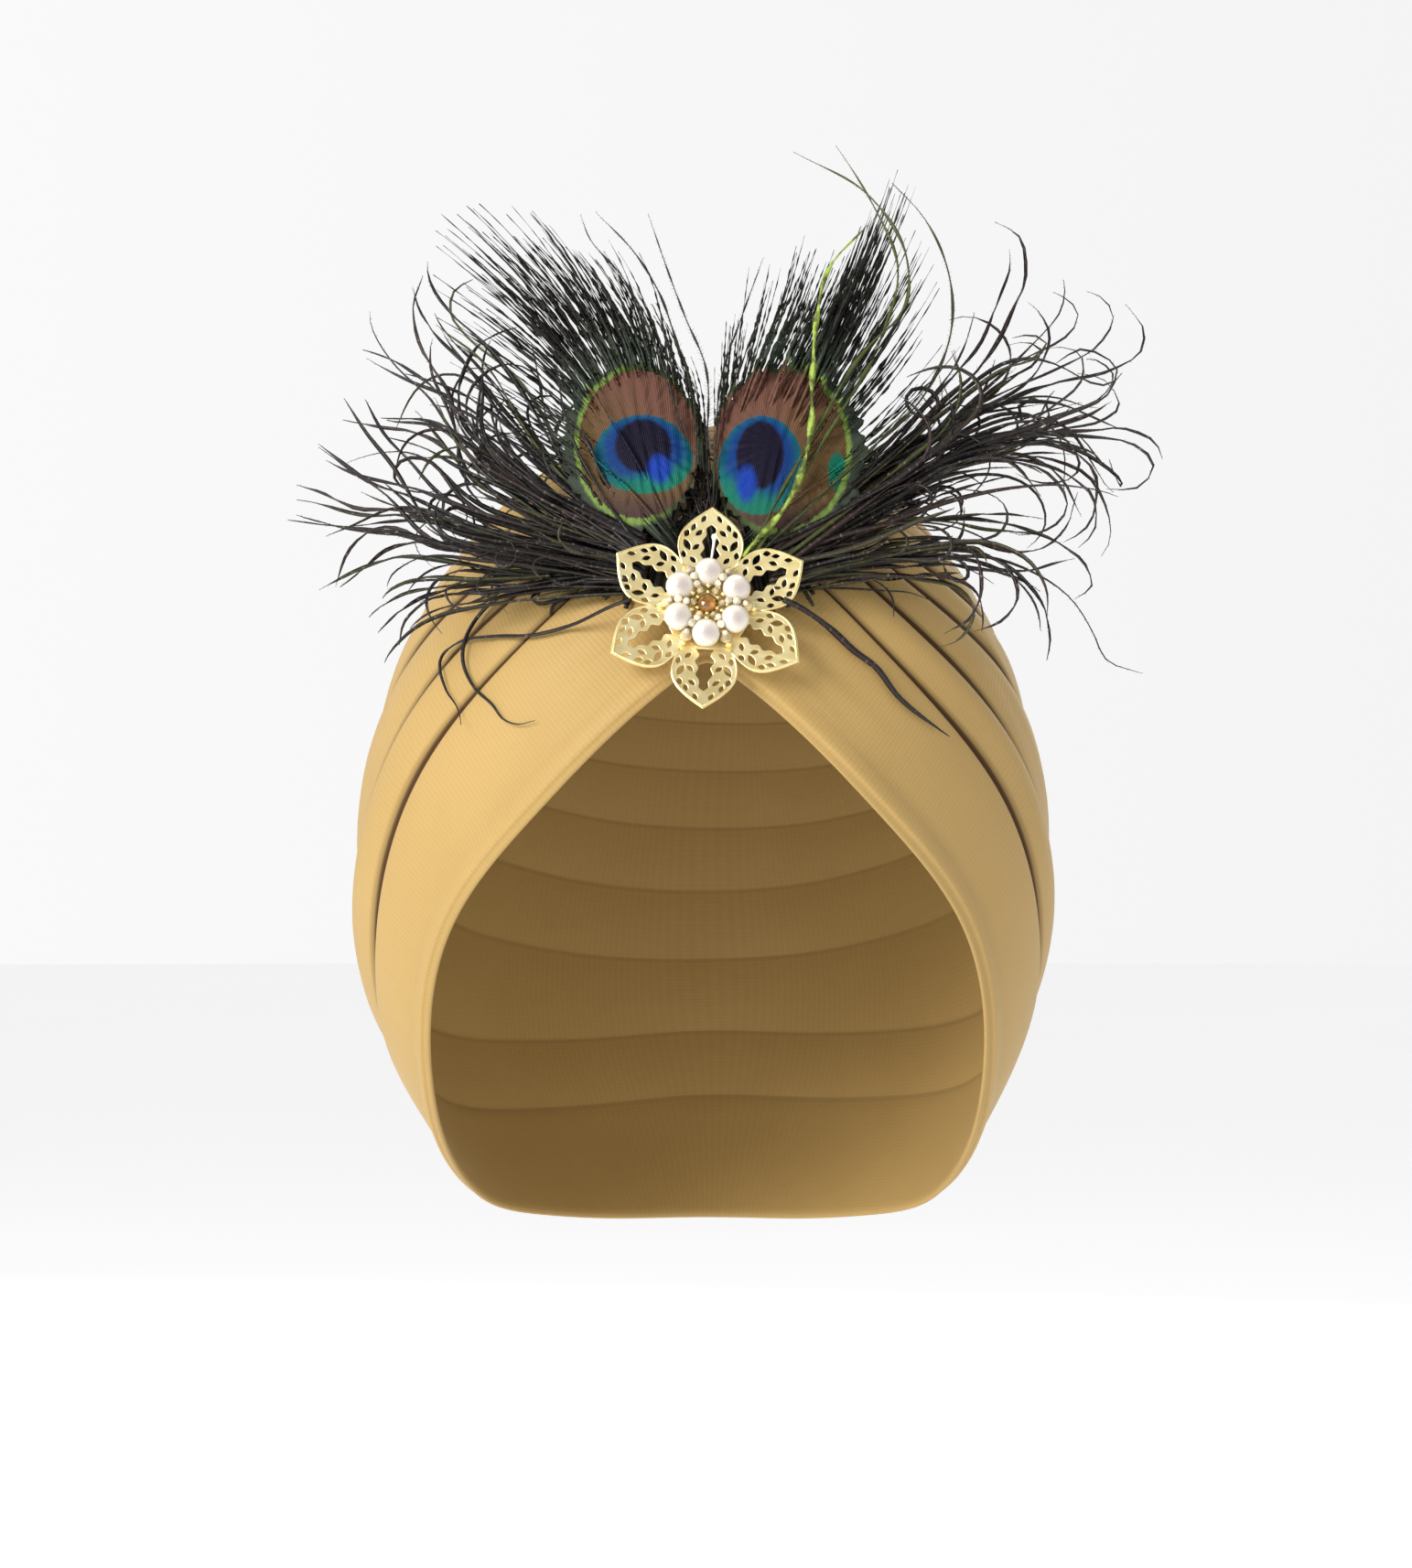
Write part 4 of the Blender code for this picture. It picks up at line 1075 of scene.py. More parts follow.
def barbs(lines, tone, green, facing, random, spacing, length, size):
    """Short barbs on both edges of each line, leaning to its tip: one thin spike each.
    Returns their mesh and their tone, green and place along the line."""
    count, steps, _ = lines.shape
    reach = np.linalg.norm(np.diff(lines, axis=1), axis=2).sum(axis=1)
    each = int(np.median(reach) / spacing)
    where = (np.arange(each)[None] + random.random((count, each))) / each * (steps - 1.001)
    low = where.astype(int)
    part = (where - low)[..., None]
    rows = np.arange(count)[:, None]
    foot = lines[rows, low] * (1 - part) + lines[rows, low + 1] * part
    heading = unit(lines[rows, low + 1] - lines[rows, low])
    across = unit(np.cross(heading, facing))
    hand = np.where(np.arange(each) % 2 == 0, 1.0, -1.0)[None, :, None]
    depth = random.uniform(-0.5, 0.5, (count, each, 1)) * facing
    share = where[..., None] / steps
    grown = length * (0.5 + random.random((count, each, 1))) * (1 - 0.75 * share)
    tip = foot + unit(heading * (1 - BARB_LEAN) + across * hand * BARB_LEAN + depth * 0.6) * grown
    spikes = np.stack([foot, tip], axis=2).reshape(-1, 2, 3)
    wide = np.tile([size, size * 0.25], (len(spikes), 1))
    mesh = strands(spikes, wide, wide, np.zeros_like(wide), facing)
    shade = [np.repeat(np.broadcast_to(value[:, None], (count, each)).ravel(), 2) for value in (tone, green)]
    place = np.repeat(np.broadcast_to(share[..., 0], (count, each)).ravel(), 2)
    return mesh, [spread_values(value, 3) for value in (*shade, place)]


def add_fringed(name, lines, width, flatness, twist, sides, tone, green, fringe, fan, feather, random,
                stands_for=()):
    """A piece of strands with barbs on both edges. Flatness is a strand's thickness over its width, and
    fringe holds the barbs' spacing, length and size."""
    total, steps, _ = lines.shape
    share = np.linspace(0, 1, steps)[None]
    stems = strands(lines, width, width * flatness, twist, fan.out, sides)
    shades = [
        spread_values(np.broadcast_to(value, (total, steps)), sides)
        for value in (tone[:, None], green[:, None], share)]
    spikes, spike_shades = barbs(lines, tone, green, fan.out, random, *fringe)
    points, faces = joined([stems, spikes])
    values = [np.concatenate(pair) for pair in zip(shades, spike_shades)]
    return add_piece(
        name, points, faces, herl_finish(name, feather), stands_for,
        values=dict(zip(("tone", "green", "along"), values)))


def herl_lines(routes, count, random, steps):
    """Lines for a bunch: each is a blend of two neighbouring curls, cut short by a random share."""
    guides = np.stack([evenly_along(route, 80) for route in routes])
    at = random.uniform(0, len(routes) - 1.001, count)
    low = at.astype(int)
    part = (at - low)[:, None, None]
    mixed = guides[low] * (1 - part) + guides[low + 1] * part
    heroes = len(guides)
    lines = np.concatenate([guides, mixed])
    total = len(lines)
    short = random.random(count) < 0.5
    cut = np.where(short, random.uniform(0.35, 0.7, count), random.uniform(0.7, 1.0, count))
    cut = np.concatenate([np.ones(heroes), cut])
    where = np.linspace(0, 1, steps)[None] * cut[:, None] * 79
    low = np.clip(where.astype(int), 0, 78)
    part = (where - low)[..., None]
    rows = np.arange(total)[:, None]
    lines = lines[rows, low] * (1 - part) + lines[rows, low + 1] * part
    share = np.linspace(0, 1, steps)[None]
    loose = np.concatenate([np.zeros(heroes), np.ones(count)])
    sway = random.normal(0, 1, (total, 2, 1)) * loose[:, None, None]
    swing = np.sin(share * random.uniform(2, 5, (total, 1)) + random.uniform(0, 6, (total, 1)))
    lines[..., 0] += sway[:, 0] * 0.018 * share * swing
    lines[..., 1] += sway[:, 1] * 0.030 * share + 0.012 * swing * sway[:, 0] * share
    lines[heroes:, :, 1] += random.uniform(-0.035, 0.06, (count, 1)) * (1 - share) ** 2
    return curled(lines, heroes, random)


def curled(lines, heroes, random):
    """The same flat lines with a bend that grows to the tip, and a hook or a loop on some of them."""
    total, steps, _ = lines.shape
    parts = np.diff(lines, axis=1)
    lengths = np.linalg.norm(parts, axis=2)
    t = np.linspace(0, 1, steps - 1)[None]
    bend = random.normal(0, 0.35, (total, 1)) * t**2
    hook = random.normal(0, 1.5, (total, 1)) * (random.random((total, 1)) < 0.6)
    loop = random.choice((-4.2, 4.2), (total, 1)) * (random.random((total, 1)) < 0.12)
    late = np.clip((t - 0.62) / 0.38, 0, 1)
    extra = bend + (hook + loop) * late * late * (3 - 2 * late)
    extra[:heroes] = 0
    heading = np.arctan2(parts[..., 1], parts[..., 0]) + extra
    moves = np.stack([np.cos(heading), np.sin(heading)], axis=-1) * lengths[..., None]
    return np.concatenate([lines[:, :1], lines[:, :1] + np.cumsum(moves, axis=1)], axis=1)


def herl_bunch(name, routes, count, near, away, fan, feather, seed, stands_for=()):
    """A bunch of dark herl: curls and straighter strands that leave one root, fringed with barbs. Near
    and away are how far back and forward they lie at their roots and tips, as shares of the reach."""
    random = np.random.default_rng(seed)
    steps = 34
    flat = herl_lines(routes, count, random, steps)
    total = len(flat)
    share = np.linspace(0, 1, steps)[None]
    depth = random.uniform(*away, (total, 1)) * share**1.2 + random.uniform(*near, (total, 1))
    lines = fan.point(flat[..., 0], flat[..., 1], depth)
    tone = random.random(total)
    green = np.clip(random.normal(-0.25, 0.4, total), 0, 0.8)
    width = random.uniform(1.3, 2.4, (total, 1)) * MM
    taper = np.interp(share, (0, 0.12, 0.5, 0.8, 0.92, 1), (0.8, 1.0, 0.85, 0.65, 0.48, 0.1))
    twist = random.uniform(-0.6, 0.6, (total, 1)) + share**2 * random.uniform(-14, 14, (total, 1))
    return add_fringed(
        name, lines, width * taper, 0.4, twist, 3, tone, green, BUNCH_FRINGE, fan, feather, random,
        stands_for)


def comb_angle(x, y, side):
    """The angle of the barb through a place of the fan, seen from a point below the root."""
    return np.arctan2(x - 0.03 * side, y + 0.25)


def eye_places(flat, side, oval, heart):
    """Where points of the fan lie in an eye: in units of its oval and its heart, with the outer side
    positive, and the angle of the barb through them."""
    x, y = flat[..., 0], flat[..., 1]
    found = []
    for (middle, half), comb in ((oval, comb_angle(x, y, side)), (heart, np.zeros_like(x))):
        found.append(
            np.stack([(x - middle[0]) * side / half[0], (y - middle[1]) / half[1], comb], axis=-1))
    return found


def flue_lines(rows, lean, side, count, random, steps):
    """Fine flues of one eye feather. Each runs from its start to its tip among the rows, as a cubic
    whose ends are turned from the straight line by the lean."""
    share = np.interp(np.sort(random.uniform(0, 1, count)), (0, 0.2, 0.84, 1), (0, 0.2, 0.70, 1))
    found = smooth_through(np.linspace(0, 1, len(rows)), rows, share)
    start = found[:, :2] + random.normal(0, 0.008, (count, 2))
    tip = found[:, 2:] + random.normal(0, 0.013, (count, 2))
    tip = start + (tip - start) * random.uniform(0.74, 1.04, (count, 1))
    span = np.linalg.norm(tip - start, axis=1, keepdims=True)
    straight = unit(tip - start)
    leave, arrive = (unit(straight + np.array([out * side, up])) for out, up in lean)
    t = np.linspace(0, 1, steps)[None, :, None]
    p0, p3 = start[:, None], tip[:, None]
    p1 = p0 + (leave * span * 0.36)[:, None]
    p2 = p3 - (arrive * span * 0.36)[:, None]
    line = (1 - t) ** 3 * p0 + 3 * (1 - t) ** 2 * t * p1 + 3 * (1 - t) * t**2 * p2 + t**3 * p3
    return line


def vane_mesh(side, oval, fan):
    """The combed vane round an eye: an egg of closed rings about its middle, front and back. A ring's
    radius is the sine of its way over the edge. The vane is cupped, and rippled along its barbs.
    Returns its mesh and where its points lie in the fan."""
    middle, half = oval
    rings, around = 22, 150
    angle = np.arange(around) * math.tau / around
    radius = np.sin(np.linspace(0, math.pi, 2 * rings + 1))[1:-1, None]
    front = np.where(np.arange(2 * rings - 1) < rings, -1.0, 1.0)[:, None]
    ragged = 1 + 0.03 * np.sin(angle * 23) + 0.035 * np.sin(angle * 41 + 1)
    outer = 0.5 + 0.5 * np.cos(angle) * side
    x = middle[0] + radius * np.cos(angle) * half[0] * (1.0 + 0.28 * outer) * ragged
    y = middle[1] + radius * np.sin(angle) * half[1] * (1.03 + 0.17 * outer) * ragged
    ripple = 0.0025 * np.sin(comb_angle(x, y, side) * 150)
    thick = front * VANE_HALF * np.sqrt(np.clip(1 - radius**2, 0, 1))
    depth = VANE_CUP * (1 - radius**2) + ripple + thick
    count = 2 * rings - 1
    step = np.arange(around)
    after = (step + 1) % around
    near = np.stack([after, step, np.full(around, count * around)], axis=1)
    far = np.stack([step, after, np.full(around, count * around + 1)], axis=1)
    far[:, :2] += (count - 1) * around
    flat = np.concatenate([np.stack([x, y], axis=-1).reshape(-1, 2), [middle, middle]])
    depth = np.concatenate([depth.ravel(), [VANE_CUP - VANE_HALF, VANE_CUP + VANE_HALF]])
    points = fan.point(flat[:, 0], flat[:, 1], depth)
    return (points, [ring_faces(count, around), near, far]), flat


def flue_mesh(rows, lean, side, count, second, fan, random):
    """The fine flues beyond an eye: flat beaded strands that twist more to their tips. A few cross in
    front. Returns their mesh, where their lines lie in the fan, and their tones."""
    steps = 48
    flat = flue_lines(rows, lean, side, count, random, steps)
    t = np.linspace(0, 1, steps)[None]
    depth = random.uniform(-0.012, 0.004, (count, 1)) + random.uniform(-0.08, 0.08, (count, 1)) * t**1.5
    crosses = random.random((count, 1)) < 0.01 + 0.09 * second
    depth = depth + crosses * 0.045 * np.sin(math.pi * t)
    lines = fan.point(flat[..., 0], flat[..., 1], depth)
    width = random.uniform(0.7, 1.25, (count, 1)) * MM
    taper = np.interp(t, (0, 0.15, 0.4, 0.75, 1), (0.6, 1.3, 1.0, 0.7, 0.2))
    beads = 1 + 0.5 * np.sin(t * 88 + random.uniform(0, 6, (count, 1))) * np.clip(t * 3 - 0.8, 0, 1)
    lie = random.uniform(-0.5, 0.5, (count, 1))
    twist = lie + random.uniform(3, 9, (count, 1)) * np.clip(t - 0.3, 0, 1) * 4
    tone = random.random((count, 1)) * np.ones((1, steps))
    return strands(lines, width * taper * beads, width * taper * 0.4, twist, fan.out), flat, tone


def eye_feather(name, node, rows, lean, side, oval, heart, second, fan, feather, seed):
    """An eye feather: the combed vane with its eye, and the fine flues beyond it."""
    random = np.random.default_rng(seed)
    vane, vane_flat = vane_mesh(side, oval, fan)
    flues, flues_flat, flues_tone = flue_mesh(rows, lean, side, feather.flues, second, fan, random)
    points, faces = joined([vane, flues])
    vane_places = eye_places(vane_flat, side, oval, heart)
    flue_places = [
        np.repeat(found.reshape(-1, 3), 3, axis=0) for found in eye_places(flues_flat, side, oval, heart)]
    in_oval, in_heart = (np.concatenate(pair) for pair in zip(vane_places, flue_places))
    tone = np.concatenate([np.full(len(vane_flat), 0.5), spread_values(flues_tone, 3)])
    return add_piece(
        name, points, faces, vane_finish(feather, second), [node],
        values={"tone": tone}, vectors={"oval": in_oval, "heart": in_heart})


def free_strands(name, routes, outs, widths, greens, fan, feather, seed, low=False, fuzz=1.0):
    """Single long strands with fringed edges, in front of the fan or laid on the cloth."""
    random = np.random.default_rng(seed)
    steps = 56
    flat = np.stack([evenly_along(route, steps) for route in routes])
    total = len(flat)
    share = np.linspace(0, 1, steps)[None]
    depth = np.array(outs)[:, None] * share**0.8 + 0.03 * (1 - share)
    lines = fan.point(flat[..., 0], flat[..., 1], depth)
    if low:
        hold = np.clip(share * 3.5, 0, 1)
        lines = fan.over_cloth(lines, 0.7 * MM, hold * hold * (3 - 2 * hold))
    tone = random.random(total)
    taper = np.interp(share, (0, 0.3, 0.8, 1), (0.9, 1.0, 0.7, 0.15))
    twist = (random.uniform(0, 6, (total, 1)) + share * 22) * (not low)
    spacing, length, size = STRAND_FRINGE
    return add_fringed(
        name, lines, np.array(widths)[:, None] * MM * taper, 0.5, twist, 4, tone, np.array(greens),
        (spacing, length * fuzz, size), fan, feather, random)


def brooch_place(cloth, brooch):
    """The middle of the back of the brooch's plate: X along it, Y up it and Z facing out."""
    seat, _ = on_cloth(brooch.share, 0.0, cloth)
    tilt = brooch.tilt
    facing = Vector((0, -math.cos(tilt), math.sin(tilt)))
    upward = Vector((0, math.sin(tilt), math.cos(tilt)))
    basis = Matrix((Vector((1, 0, 0)), upward, facing)).transposed()
    roll = Matrix.Rotation(brooch.roll, 3, "Z")
    return Matrix.Translation(Vector(seat) + facing * brooch.stand_off) @ (basis @ roll).to_4x4()


def placed(points, matrix):
    """Points carried by a matrix."""
    turned = np.array(matrix.to_3x3())
    return points @ turned.T + np.array(matrix.translation)


def petal_points(shape, petal, brooch):
    """Points given out along a petal and across it, in the plate's own plane."""
    shape = np.asarray(shape, float) * brooch.reach
    angle = math.radians(90) - petal * math.tau / brooch.petals
    x = shape[:, 0] * math.cos(angle) + shape[:, 1] * math.sin(angle)
    y = shape[:, 0] * math.sin(angle) - shape[:, 1] * math.cos(angle)
    return np.stack([x, y], axis=1)


def leaf_slit(row, side):
    """A lens with pointed ends: half its width is (1 - u squared) at the share u of half its length."""
    out, across, length, width, lean = row
    u = np.linspace(-1, 1, 9)
    lens = (1 - u**2) * width / 2
    u = np.concatenate([u, u[-2:0:-1]]) * length / 2
    v = np.concatenate([lens, -lens[-2:0:-1]])
    lean = math.radians(lean)
    along = out + u * math.cos(lean) - v * math.sin(lean)
    aside = across + u * math.sin(lean) + v * math.cos(lean)
    return np.stack([along, aside * side], axis=1)


def mirrored(half, count):
    """A closed outline from a smooth half that starts and ends on the petal's line."""
    half = evenly_along(half, count)
    return np.concatenate([half, half[-2:0:-1] * (1, -1)])


def dished(points, brooch):
    """The plate's relief: each petal is a little cupped, and the tips bend forward."""
    far = np.linalg.norm(points[:, :2], axis=1) / brooch.reach
    points = points.copy()
    points[:, 2] += 1.44 * MM * np.clip(far - 0.35, 0, 1) ** 2
    return points


def filigree(place, brooch, gold):
    """The six-petalled plate, pierced with its leaf slits and middle openings, with bevelled edges."""
    curve = bpy.data.curves.new("filigree_plate", "CURVE")
    curve.dimensions = "2D"
    curve.fill_mode = "BOTH"
    curve.extrude = brooch.plate * 0.5 - 0.12 * MM
    curve.bevel_depth = 0.12 * MM
    curve.bevel_resolution = 1
    outlines = []
    edge = []
    for petal in range(brooch.petals):
        half = evenly_along(PETAL_EDGE, 16)
        edge += [petal_points(half * (1, -1), petal, brooch), petal_points(half[-2::-1], petal, brooch)]
        opening = mirrored(PETAL_OPENING, 26)
        outlines.append(petal_points(opening, petal, brooch))
        for row in PETAL_SLITS:
            for side in (-1, 1):
                outlines.append(petal_points(leaf_slit(row, side), petal, brooch))
    edge = np.concatenate(edge)
    for outline in [edge] + outlines:
        spline = curve.splines.new("POLY")
        spline.points.add(len(outline) - 1)
        flat = np.zeros((len(outline), 4))
        flat[:, :2] = outline
        flat[:, 3] = 1
        spline.points.foreach_set("co", flat.ravel())
        spline.use_cyclic_u = True
    helper = bpy.data.objects.new("filigree_outline", curve)
    bpy.context.scene.collection.objects.link(helper)
    graph = bpy.context.evaluated_depsgraph_get()
    mesh = bpy.data.meshes.new_from_object(helper.evaluated_get(graph))
    bpy.data.objects.remove(helper)
    points = np.zeros(len(mesh.vertices) * 3)
    mesh.vertices.foreach_get("co", points)
    points = points.reshape(-1, 3) + (0, 0, brooch.plate / 2)
    mesh.vertices.foreach_set("co", placed(dished(points, brooch), place).ravel())
    mesh.materials.clear()
    mesh.materials.append(gold)
    made = bpy.data.objects.new("brooch_flower", mesh)
    bpy.context.scene.collection.objects.link(made)
    weld = made.modifiers.new("weld", "WELD")
    weld.merge_threshold = 0.00001
    mesh.shade_flat()
    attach(made, "root")
    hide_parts("brooch_filigree")
    return edge


def loop_tubes(loops, radius, sides=6):
    """Round wires along closed loops with equal numbers of points."""
    loops = np.asarray(loops)
    count, steps, _ = loops.shape
    along = unit(np.roll(loops, -1, axis=1) - np.roll(loops, 1, axis=1))
    up = np.array([0.0, 0.0, 1.0])
    across = unit(np.cross(along, up))
    angle = np.arange(sides) * math.tau / sides
    points = (
        loops[:, :, None]
        + across[:, :, None] * (np.cos(angle) * radius)[:, None]
        + up * (np.sin(angle) * radius)[:, None]
    )
    ring, step = np.meshgrid(np.arange(steps), np.arange(sides), indexing="ij")
    nearby = (ring + 1) % steps
    after = (step + 1) % sides
    quads = np.stack(
        [ring * sides + step, nearby * sides + step, nearby * sides + after, ring * sides + after], axis=-1)
    quads = quads.reshape(-1, 4)[None] + (np.arange(count) * steps * sides)[:, None, None]
    return points.reshape(-1, 3), [quads.reshape(-1, 4)]


def turned(profile, centres, around):
    """A profile of (radius, height) turned about Z at each centre, its ends closed by flat faces."""
    profile = np.asarray(profile, float)
    centres = np.asarray(centres, float)
    angle = np.arange(around) * math.tau / around
    ring = np.stack([np.cos(angle), np.sin(angle)], axis=1)
    shape = np.concatenate(
        [profile[:, None, :1] * ring, np.repeat(profile[:, None, 1:], around, axis=1)], axis=2)
    points = centres[:, None, None] + shape
    each = len(profile) * around
    first = np.arange(len(centres))[:, None]
    body = ring_faces(len(profile), around)[None] + first[..., None] * each
    order = np.arange(around)
    near = first * each + order[::-1]
    far = first * each + (len(profile) - 1) * around + order
    return points.reshape(-1, 3), [body.reshape(-1, 4), near, far]


def ball_profile(radius, rings):
    """Half a circle from just off the lower pole to just off the upper one."""
    angle = np.linspace(-math.pi / 2, math.pi / 2, rings)
    angle[0] += 0.06
    angle[-1] -= 0.06
    return np.stack([np.cos(angle), np.sin(angle)], axis=1) * radius


def spoke_points(radius, height, count, start=0.0):
    """Points evenly round a circle: (radius cos a, radius sin a, height), from a start in degrees."""
    angle = math.radians(start) + np.arange(count) * math.tau / count
    return np.stack([np.cos(angle) * radius, np.sin(angle) * radius, np.full(count, height)], axis=1)


def studio_world():
    """White light from all round, weaker from above and a little weaker from the right."""
    world = bpy.data.worlds.new("studio")
    world.use_nodes = True
    nodes = world.node_tree.nodes
    links = world.node_tree.links
    nodes["Background"].inputs["Color"].default_value = (1.0, 1.0, 1.0, 1.0)
    way = nodes.new("ShaderNodeTexCoord")
    split = nodes.new("ShaderNodeSeparateXYZ")
    both = nodes.new("ShaderNodeMath")
    both.operation = "MULTIPLY"
    links.new(way.outputs["Generated"], split.inputs[0])
    for number, (axis, *ends) in enumerate(SKY):
        fade = nodes.new("ShaderNodeMapRange")
        for key, value in zip(("From Min", "From Max", "To Min", "To Max"), ends):
            fade.inputs[key].default_value = value
        links.new(split.outputs[axis], fade.inputs["Value"])
        links.new(fade.outputs[0], both.inputs[number])
    links.new(both.outputs[0], nodes["Background"].inputs["Strength"])
    return world


class TURBAN_OT_cloth(bpy.types.Operator):
    """Wrap the pleated cloth"""

    bl_idname = "turban.cloth"
    bl_label = "Cloth"

    def execute(self, context):
        sizes = context.scene.turban_cloth
        made = build_cloth(sizes)
        return {"FINISHED"}


class TURBAN_OT_flower(bpy.types.Operator):
    """Pierce the flower plate and seat it on its pin"""

    bl_idname = "turban.flower"
    bl_label = "Flower plate"

    def execute(self, context):
        brooch = context.scene.turban_brooch
        place = brooch_place(context.scene.turban_cloth, brooch)
        gold = gold_finish(brooch)
        edge = filigree(place, brooch, gold)
        inset = edge * (1 - 0.49 * MM / brooch.reach)
        rim = np.concatenate([inset, np.full((len(inset), 1), brooch.plate)], axis=1)
        points, faces = loop_tubes([dished(rim, brooch)], 0.25 * MM)
        add_piece("flower_rim", placed(points, place), faces, gold)
        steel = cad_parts["brooch_post"]
        steel.data.materials.clear()
        steel.data.materials.append(steel_finish())
        return {"FINISHED"}


class TURBAN_OT_pearls(bpy.types.Operator):
    """Set the ring of pearls"""

    bl_idname = "turban.pearls"
    bl_label = "Pearls"

    def execute(self, context):
        brooch = context.scene.turban_brooch
        place = brooch_place(context.scene.turban_cloth, brooch)
        lustre = pearl_finish(brooch)
        height = brooch.plate + 0.3 * MM + brooch.pearl / 2
        centres = spoke_points(brooch.pearl_ring, height, brooch.petals, 90)
        centres = centres[(-np.arange(brooch.petals)) % brooch.petals]
        for number, centre in enumerate(centres):
            points, faces = turned(ball_profile(brooch.pearl / 2, 25), [centre], 36)
            node = "pearl_%d" % (number + 1)
            # Painted reflection: how strongly each point faces out and a little down, which greys the pearl
            # there
            ahead = unit(points - centre) @ unit(np.array([0.15, -0.38, 1.0]))
            add_piece(
                "lustre_" + node, placed(points, place), faces, lustre, [node],
                values={"depth": np.clip((ahead - 0.72) / 0.28, 0, 1) ** 1.3})
        return {"FINISHED"}


class TURBAN_OT_stones(bpy.types.Operator):
    """Set the amber stone, the small crystals and the seed beads"""

    bl_idname = "turban.stones"
    bl_label = "Stones and beads"

    def execute(self, context):
        brooch = context.scene.turban_brooch
        place = brooch_place(context.scene.turban_cloth, brooch)
        gold = bpy.data.materials["stamped_gold"]
        radius = brooch.stone
        girdle = brooch.plate + 2.7 * MM
        gem = ((0.35, -0.62), (1.0, 0.0), (0.97, 0.08), (0.74, 0.42), (0.5, 0.58))
        profile = np.array(gem) * radius + (0, girdle)
        points, faces = turned(profile, [(0, 0, 0)], 8)
        amber = crystal_finish("amber_crystal", brooch.amber, 0.45)
        add_piece(
            "amber_stone", placed(points, place), faces, amber, ["crystal_setting"], smooth=False)

        cup = ((2.3, 1.1), (3.1, 2.0), (3.3, 2.8), (3.2, 3.3), (2.8, 3.35), (2.7, 2.9), (2.2, 2.2))
        metal = [turned(np.array(cup) * MM, [(0, 0, 0)], 24)]
        claws = spoke_points(radius + 0.15 * MM, girdle + 0.55 * MM, brooch.petals, 30)
        metal.append(turned(ball_profile(0.62 * MM, 7) * (1, 1.3), claws, 8))
        outer = spoke_points(9.7 * MM, brooch.plate + 1.1 * MM, brooch.petals)
        metal.append(turned(ball_profile(0.95 * MM, 8), outer * (1.17, 1.17, 1.0), 10))
        inner = spoke_points(4.9 * MM, brooch.plate + 3.1 * MM, brooch.petals)
        metal.append(turned(ball_profile(0.9 * MM, 8), inner, 10))
        between = spoke_points(4.4 * MM, brooch.plate + 4.0 * MM, brooch.petals, 30)
        metal.append(turned(ball_profile(0.7 * MM, 8), between, 10))
        points, faces = joined(metal)
        add_piece("gold_claws_and_beads", placed(points, place), faces, gold)

        bicone = ((0.38, -0.95), (1.0, 0.0), (0.38, 0.95))
        champagne = crystal_finish("champagne_crystal", (0.95, 0.74, 0.38), 0.2)
        cut = [turned(np.array(bicone) * 1.7 * MM, outer + (0, 0, 1.4 * MM), 8)]
        small = spoke_points(3.7 * MM, girdle + 0.9 * MM, brooch.petals)
        cut.append(turned(np.array(bicone) * 1.15 * MM, small, 6))
        points, faces = joined(cut)
        add_piece("champagne_crystals", placed(points, place), faces, champagne, smooth=False)

        clear = crystal_finish("clear_beads", (0.98, 0.88, 0.62), 0.1)
        rings = (
            (1.05 * MM, spoke_points(7.2 * MM, brooch.plate + 5.3 * MM, brooch.petals)),
            (0.95 * MM, spoke_points(5.2 * MM, brooch.plate + 4.9 * MM, brooch.petals, 4)),
            (0.80 * MM, outer * (0.97, 0.97, 1) + (0, 0, 3.1 * MM)),
        )
        points, faces = joined([turned(ball_profile(size, 9), spots, 12) for size, spots in rings])
        add_piece("seed_beads", placed(points, place), faces, clear)
        return {"FINISHED"}


class TURBAN_OT_quill(bpy.types.Operator):
    """Lay the pale quill behind the top petal"""

    bl_idname = "turban.quill"
    bl_label = "Quill"

    def execute(self, context):
        brooch = context.scene.turban_brooch
        place = brooch_place(context.scene.turban_cloth, brooch)
        route = np.array([(0.2, 11.0, -0.4), (0.4, 14.0, -0.2), (0.7, 17.0, 0.0), (0.9, 20.2, 0.2)]) * MM
        line = evenly_along(route, 24)
        share = np.linspace(0, 1, 24)
        thick = np.interp(share, (0, 0.8, 0.87, 0.93, 0.98, 1), (0.5, 0.8, 1.5, 1.7, 1.2, 0.3)) * MM
        facing = np.array([0.0, 0.0, 1.0])
        points, faces = strands(line[None], thick[None], thick[None], np.zeros((1, 24)), facing, sides=10)
        add_piece("bare_quill", placed(points, place), faces, quill_finish())
        return {"FINISHED"}


class TURBAN_OT_eyes(bpy.types.Operator):
    """Grow the two eye feathers"""

    bl_idname = "turban.eyes"
    bl_label = "Eye feathers"

    def execute(self, context):
        feather = context.scene.turban_feather
        fan = Fan(context.scene.turban_cloth, feather)
        eyes = (
            ("left", FLUES_LEFT, LEAN_LEFT, -1, OVAL_LEFT, HEART_LEFT, 0.0, 3),
            ("right", FLUES_RIGHT, LEAN_RIGHT, 1, OVAL_RIGHT, HEART_RIGHT, 1.0, 5),
        )
        for side, *shape, seed in eyes:
            eye_feather("peacock_eye_" + side, "eye_feather_" + side, *shape, fan, feather, seed)
        return {"FINISHED"}


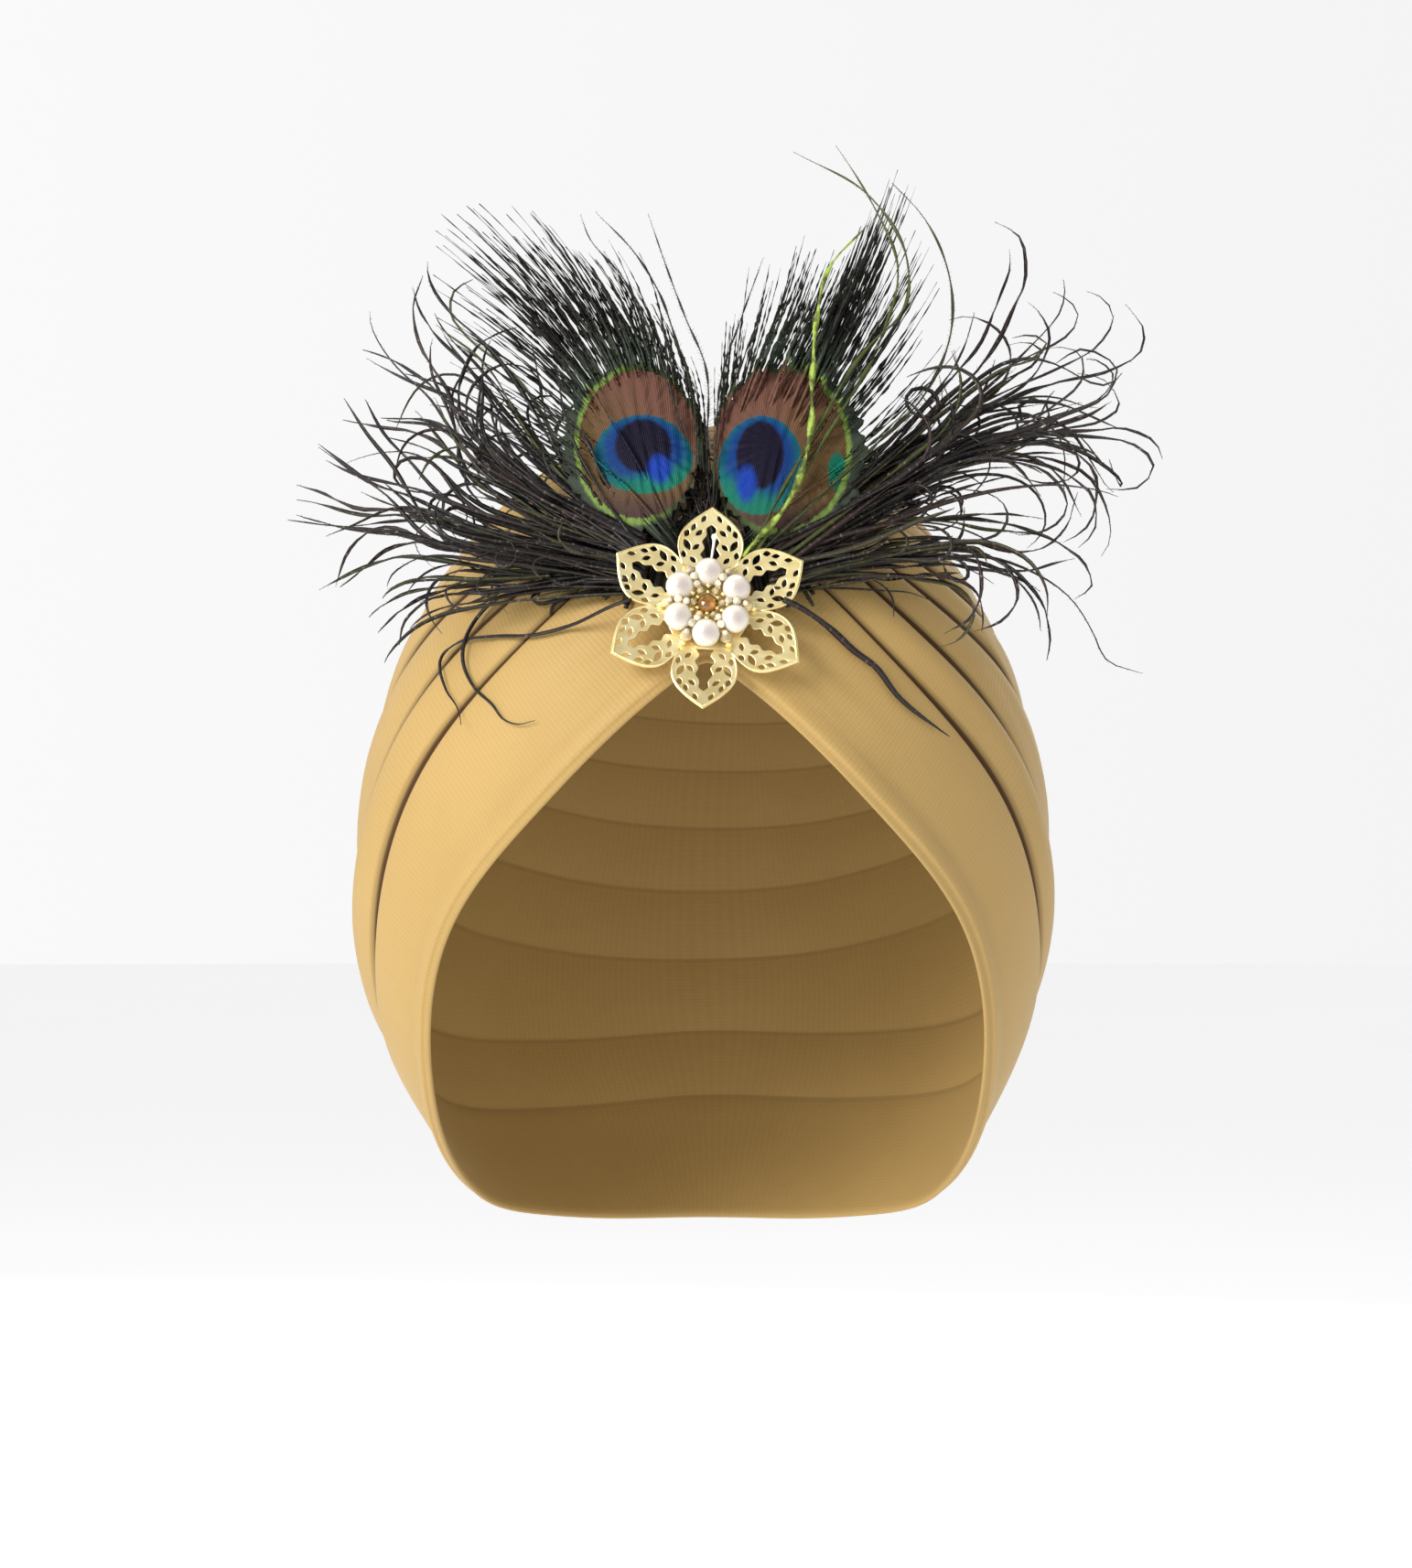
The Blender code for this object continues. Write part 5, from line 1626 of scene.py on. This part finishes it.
class TURBAN_OT_bunches(bpy.types.Operator):
    """Grow the bunches of herl at both sides"""

    bl_idname = "turban.bunches"
    bl_label = "Herl bunches"

    def execute(self, context):
        feather = context.scene.turban_feather
        fan = Fan(context.scene.turban_cloth, feather)
        near, away = (-0.035, 0.012), (-0.16, 0.09)
        for side, routes, seed in (("left", CURLS_LEFT, 11), ("right", CURLS_RIGHT, 13)):
            herl_bunch(
                "herl_bunch_" + side, routes, feather.herls, near, away, fan, feather, seed,
                ["herl_fan_" + side])
        herl_bunch("herl_base", ROOT_HERLS, 90, (-0.045, -0.03), (-0.02, 0.0), fan, feather, 17)
        return {"FINISHED"}


class TURBAN_OT_strands(bpy.types.Operator):
    """Add the olive curls in front and the strands that lie on the cloth"""

    bl_idname = "turban.strands"
    bl_label = "Single strands"

    def execute(self, context):
        feather = context.scene.turban_feather
        fan = Fan(context.scene.turban_cloth, feather)
        routes, outs = zip(*CURLS_FRONT)
        free_strands(
            "olive_curls", routes, outs, (2.0, 1.3, 1.2, 1.1), (1.6, 0.8, 0.9, 0.4),
            fan, feather, 21)
        free_strands(
            "long_flues", FLUES_LONG, (0.02,) * 4, (0.9, 0.7, 0.8, 0.7), (0.1,) * 4,
            fan, feather, 22)
        free_strands(
            "low_strands", STRANDS_LOW, (0.0,) * 5, (1.9, 0.7, 1.2, 1.1, 0.8), (0.0,) * 5,
            fan, feather, 23, low=True, fuzz=0.6)
        return {"FINISHED"}


class TURBAN_OT_stage(bpy.types.Operator):
    """Set the camera, the lights and the pale floor"""

    bl_idname = "turban.stage"
    bl_label = "Stage"

    def execute(self, context):
        stage = context.scene.turban_stage
        scene = context.scene
        bpy.ops.object.camera_add(
            location=(CAMERA_SIDE, -stage.distance, stage.eye_level), rotation=(math.radians(90), 0, 0))
        scene.camera = context.object
        scene.camera.data.lens = stage.lens
        scene.camera.data.sensor_width = SENSOR
        for name, spot, size, power in LIGHTS:
            data = bpy.data.lights.new(name, "AREA")
            data.energy = power * (stage.key if name == "key" else stage.fill)
            data.size = size
            light = bpy.data.objects.new(name, data)
            light.location = spot
            light.rotation_euler = (Vector(LIT) - Vector(spot)).to_track_quat("-Z", "Y").to_euler()
            scene.collection.objects.link(light)
        bpy.ops.mesh.primitive_circle_add(
            vertices=96, radius=FLOOR_RADIUS, fill_type="NGON", location=(0, 0, stage.floor))
        floor = context.object
        floor.name = "floor"
        floor.data.materials.append(floor_finish())
        scene.world = studio_world()
        scene.view_settings.view_transform = "Standard"
        return {"FINISHED"}


STEPS = (
    TURBAN_OT_cloth,
    TURBAN_OT_flower,
    TURBAN_OT_pearls,
    TURBAN_OT_stones,
    TURBAN_OT_quill,
    TURBAN_OT_eyes,
    TURBAN_OT_bunches,
    TURBAN_OT_strands,
    TURBAN_OT_stage,
)


class TURBAN_PT_panel(bpy.types.Panel):
    """The hat's sizes, colours and steps"""

    bl_label = "Turban hat"
    bl_idname = "TURBAN_PT_panel"
    bl_space_type = "VIEW_3D"
    bl_region_type = "UI"
    bl_category = "Turban hat"

    def draw(self, context):
        for step in STEPS:
            self.layout.operator(step.bl_idname)
        for name in GROUPS:
            box = self.layout.box()
            sizes = getattr(context.scene, name)
            for key in sizes.__annotations__:
                box.prop(sizes, key)


GROUPS = {
    "turban_cloth": ClothSizes,
    "turban_brooch": BroochSizes,
    "turban_feather": FeatherSizes,
    "turban_stage": StageSizes,
}


def register():
    for name, group in GROUPS.items():
        bpy.utils.register_class(group)
        setattr(bpy.types.Scene, name, PointerProperty(type=group))
    for step in STEPS:
        bpy.utils.register_class(step)
    bpy.utils.register_class(TURBAN_PT_panel)


def unregister():
    bpy.utils.unregister_class(TURBAN_PT_panel)
    for step in reversed(STEPS):
        bpy.utils.unregister_class(step)
    for name, group in GROUPS.items():
        delattr(bpy.types.Scene, name)
        bpy.utils.unregister_class(group)


def main():
    register()
    for step in STEPS:
        family, name = step.bl_idname.split(".")
        getattr(getattr(bpy.ops, family), name)()


if __name__ == "__main__":
    main()
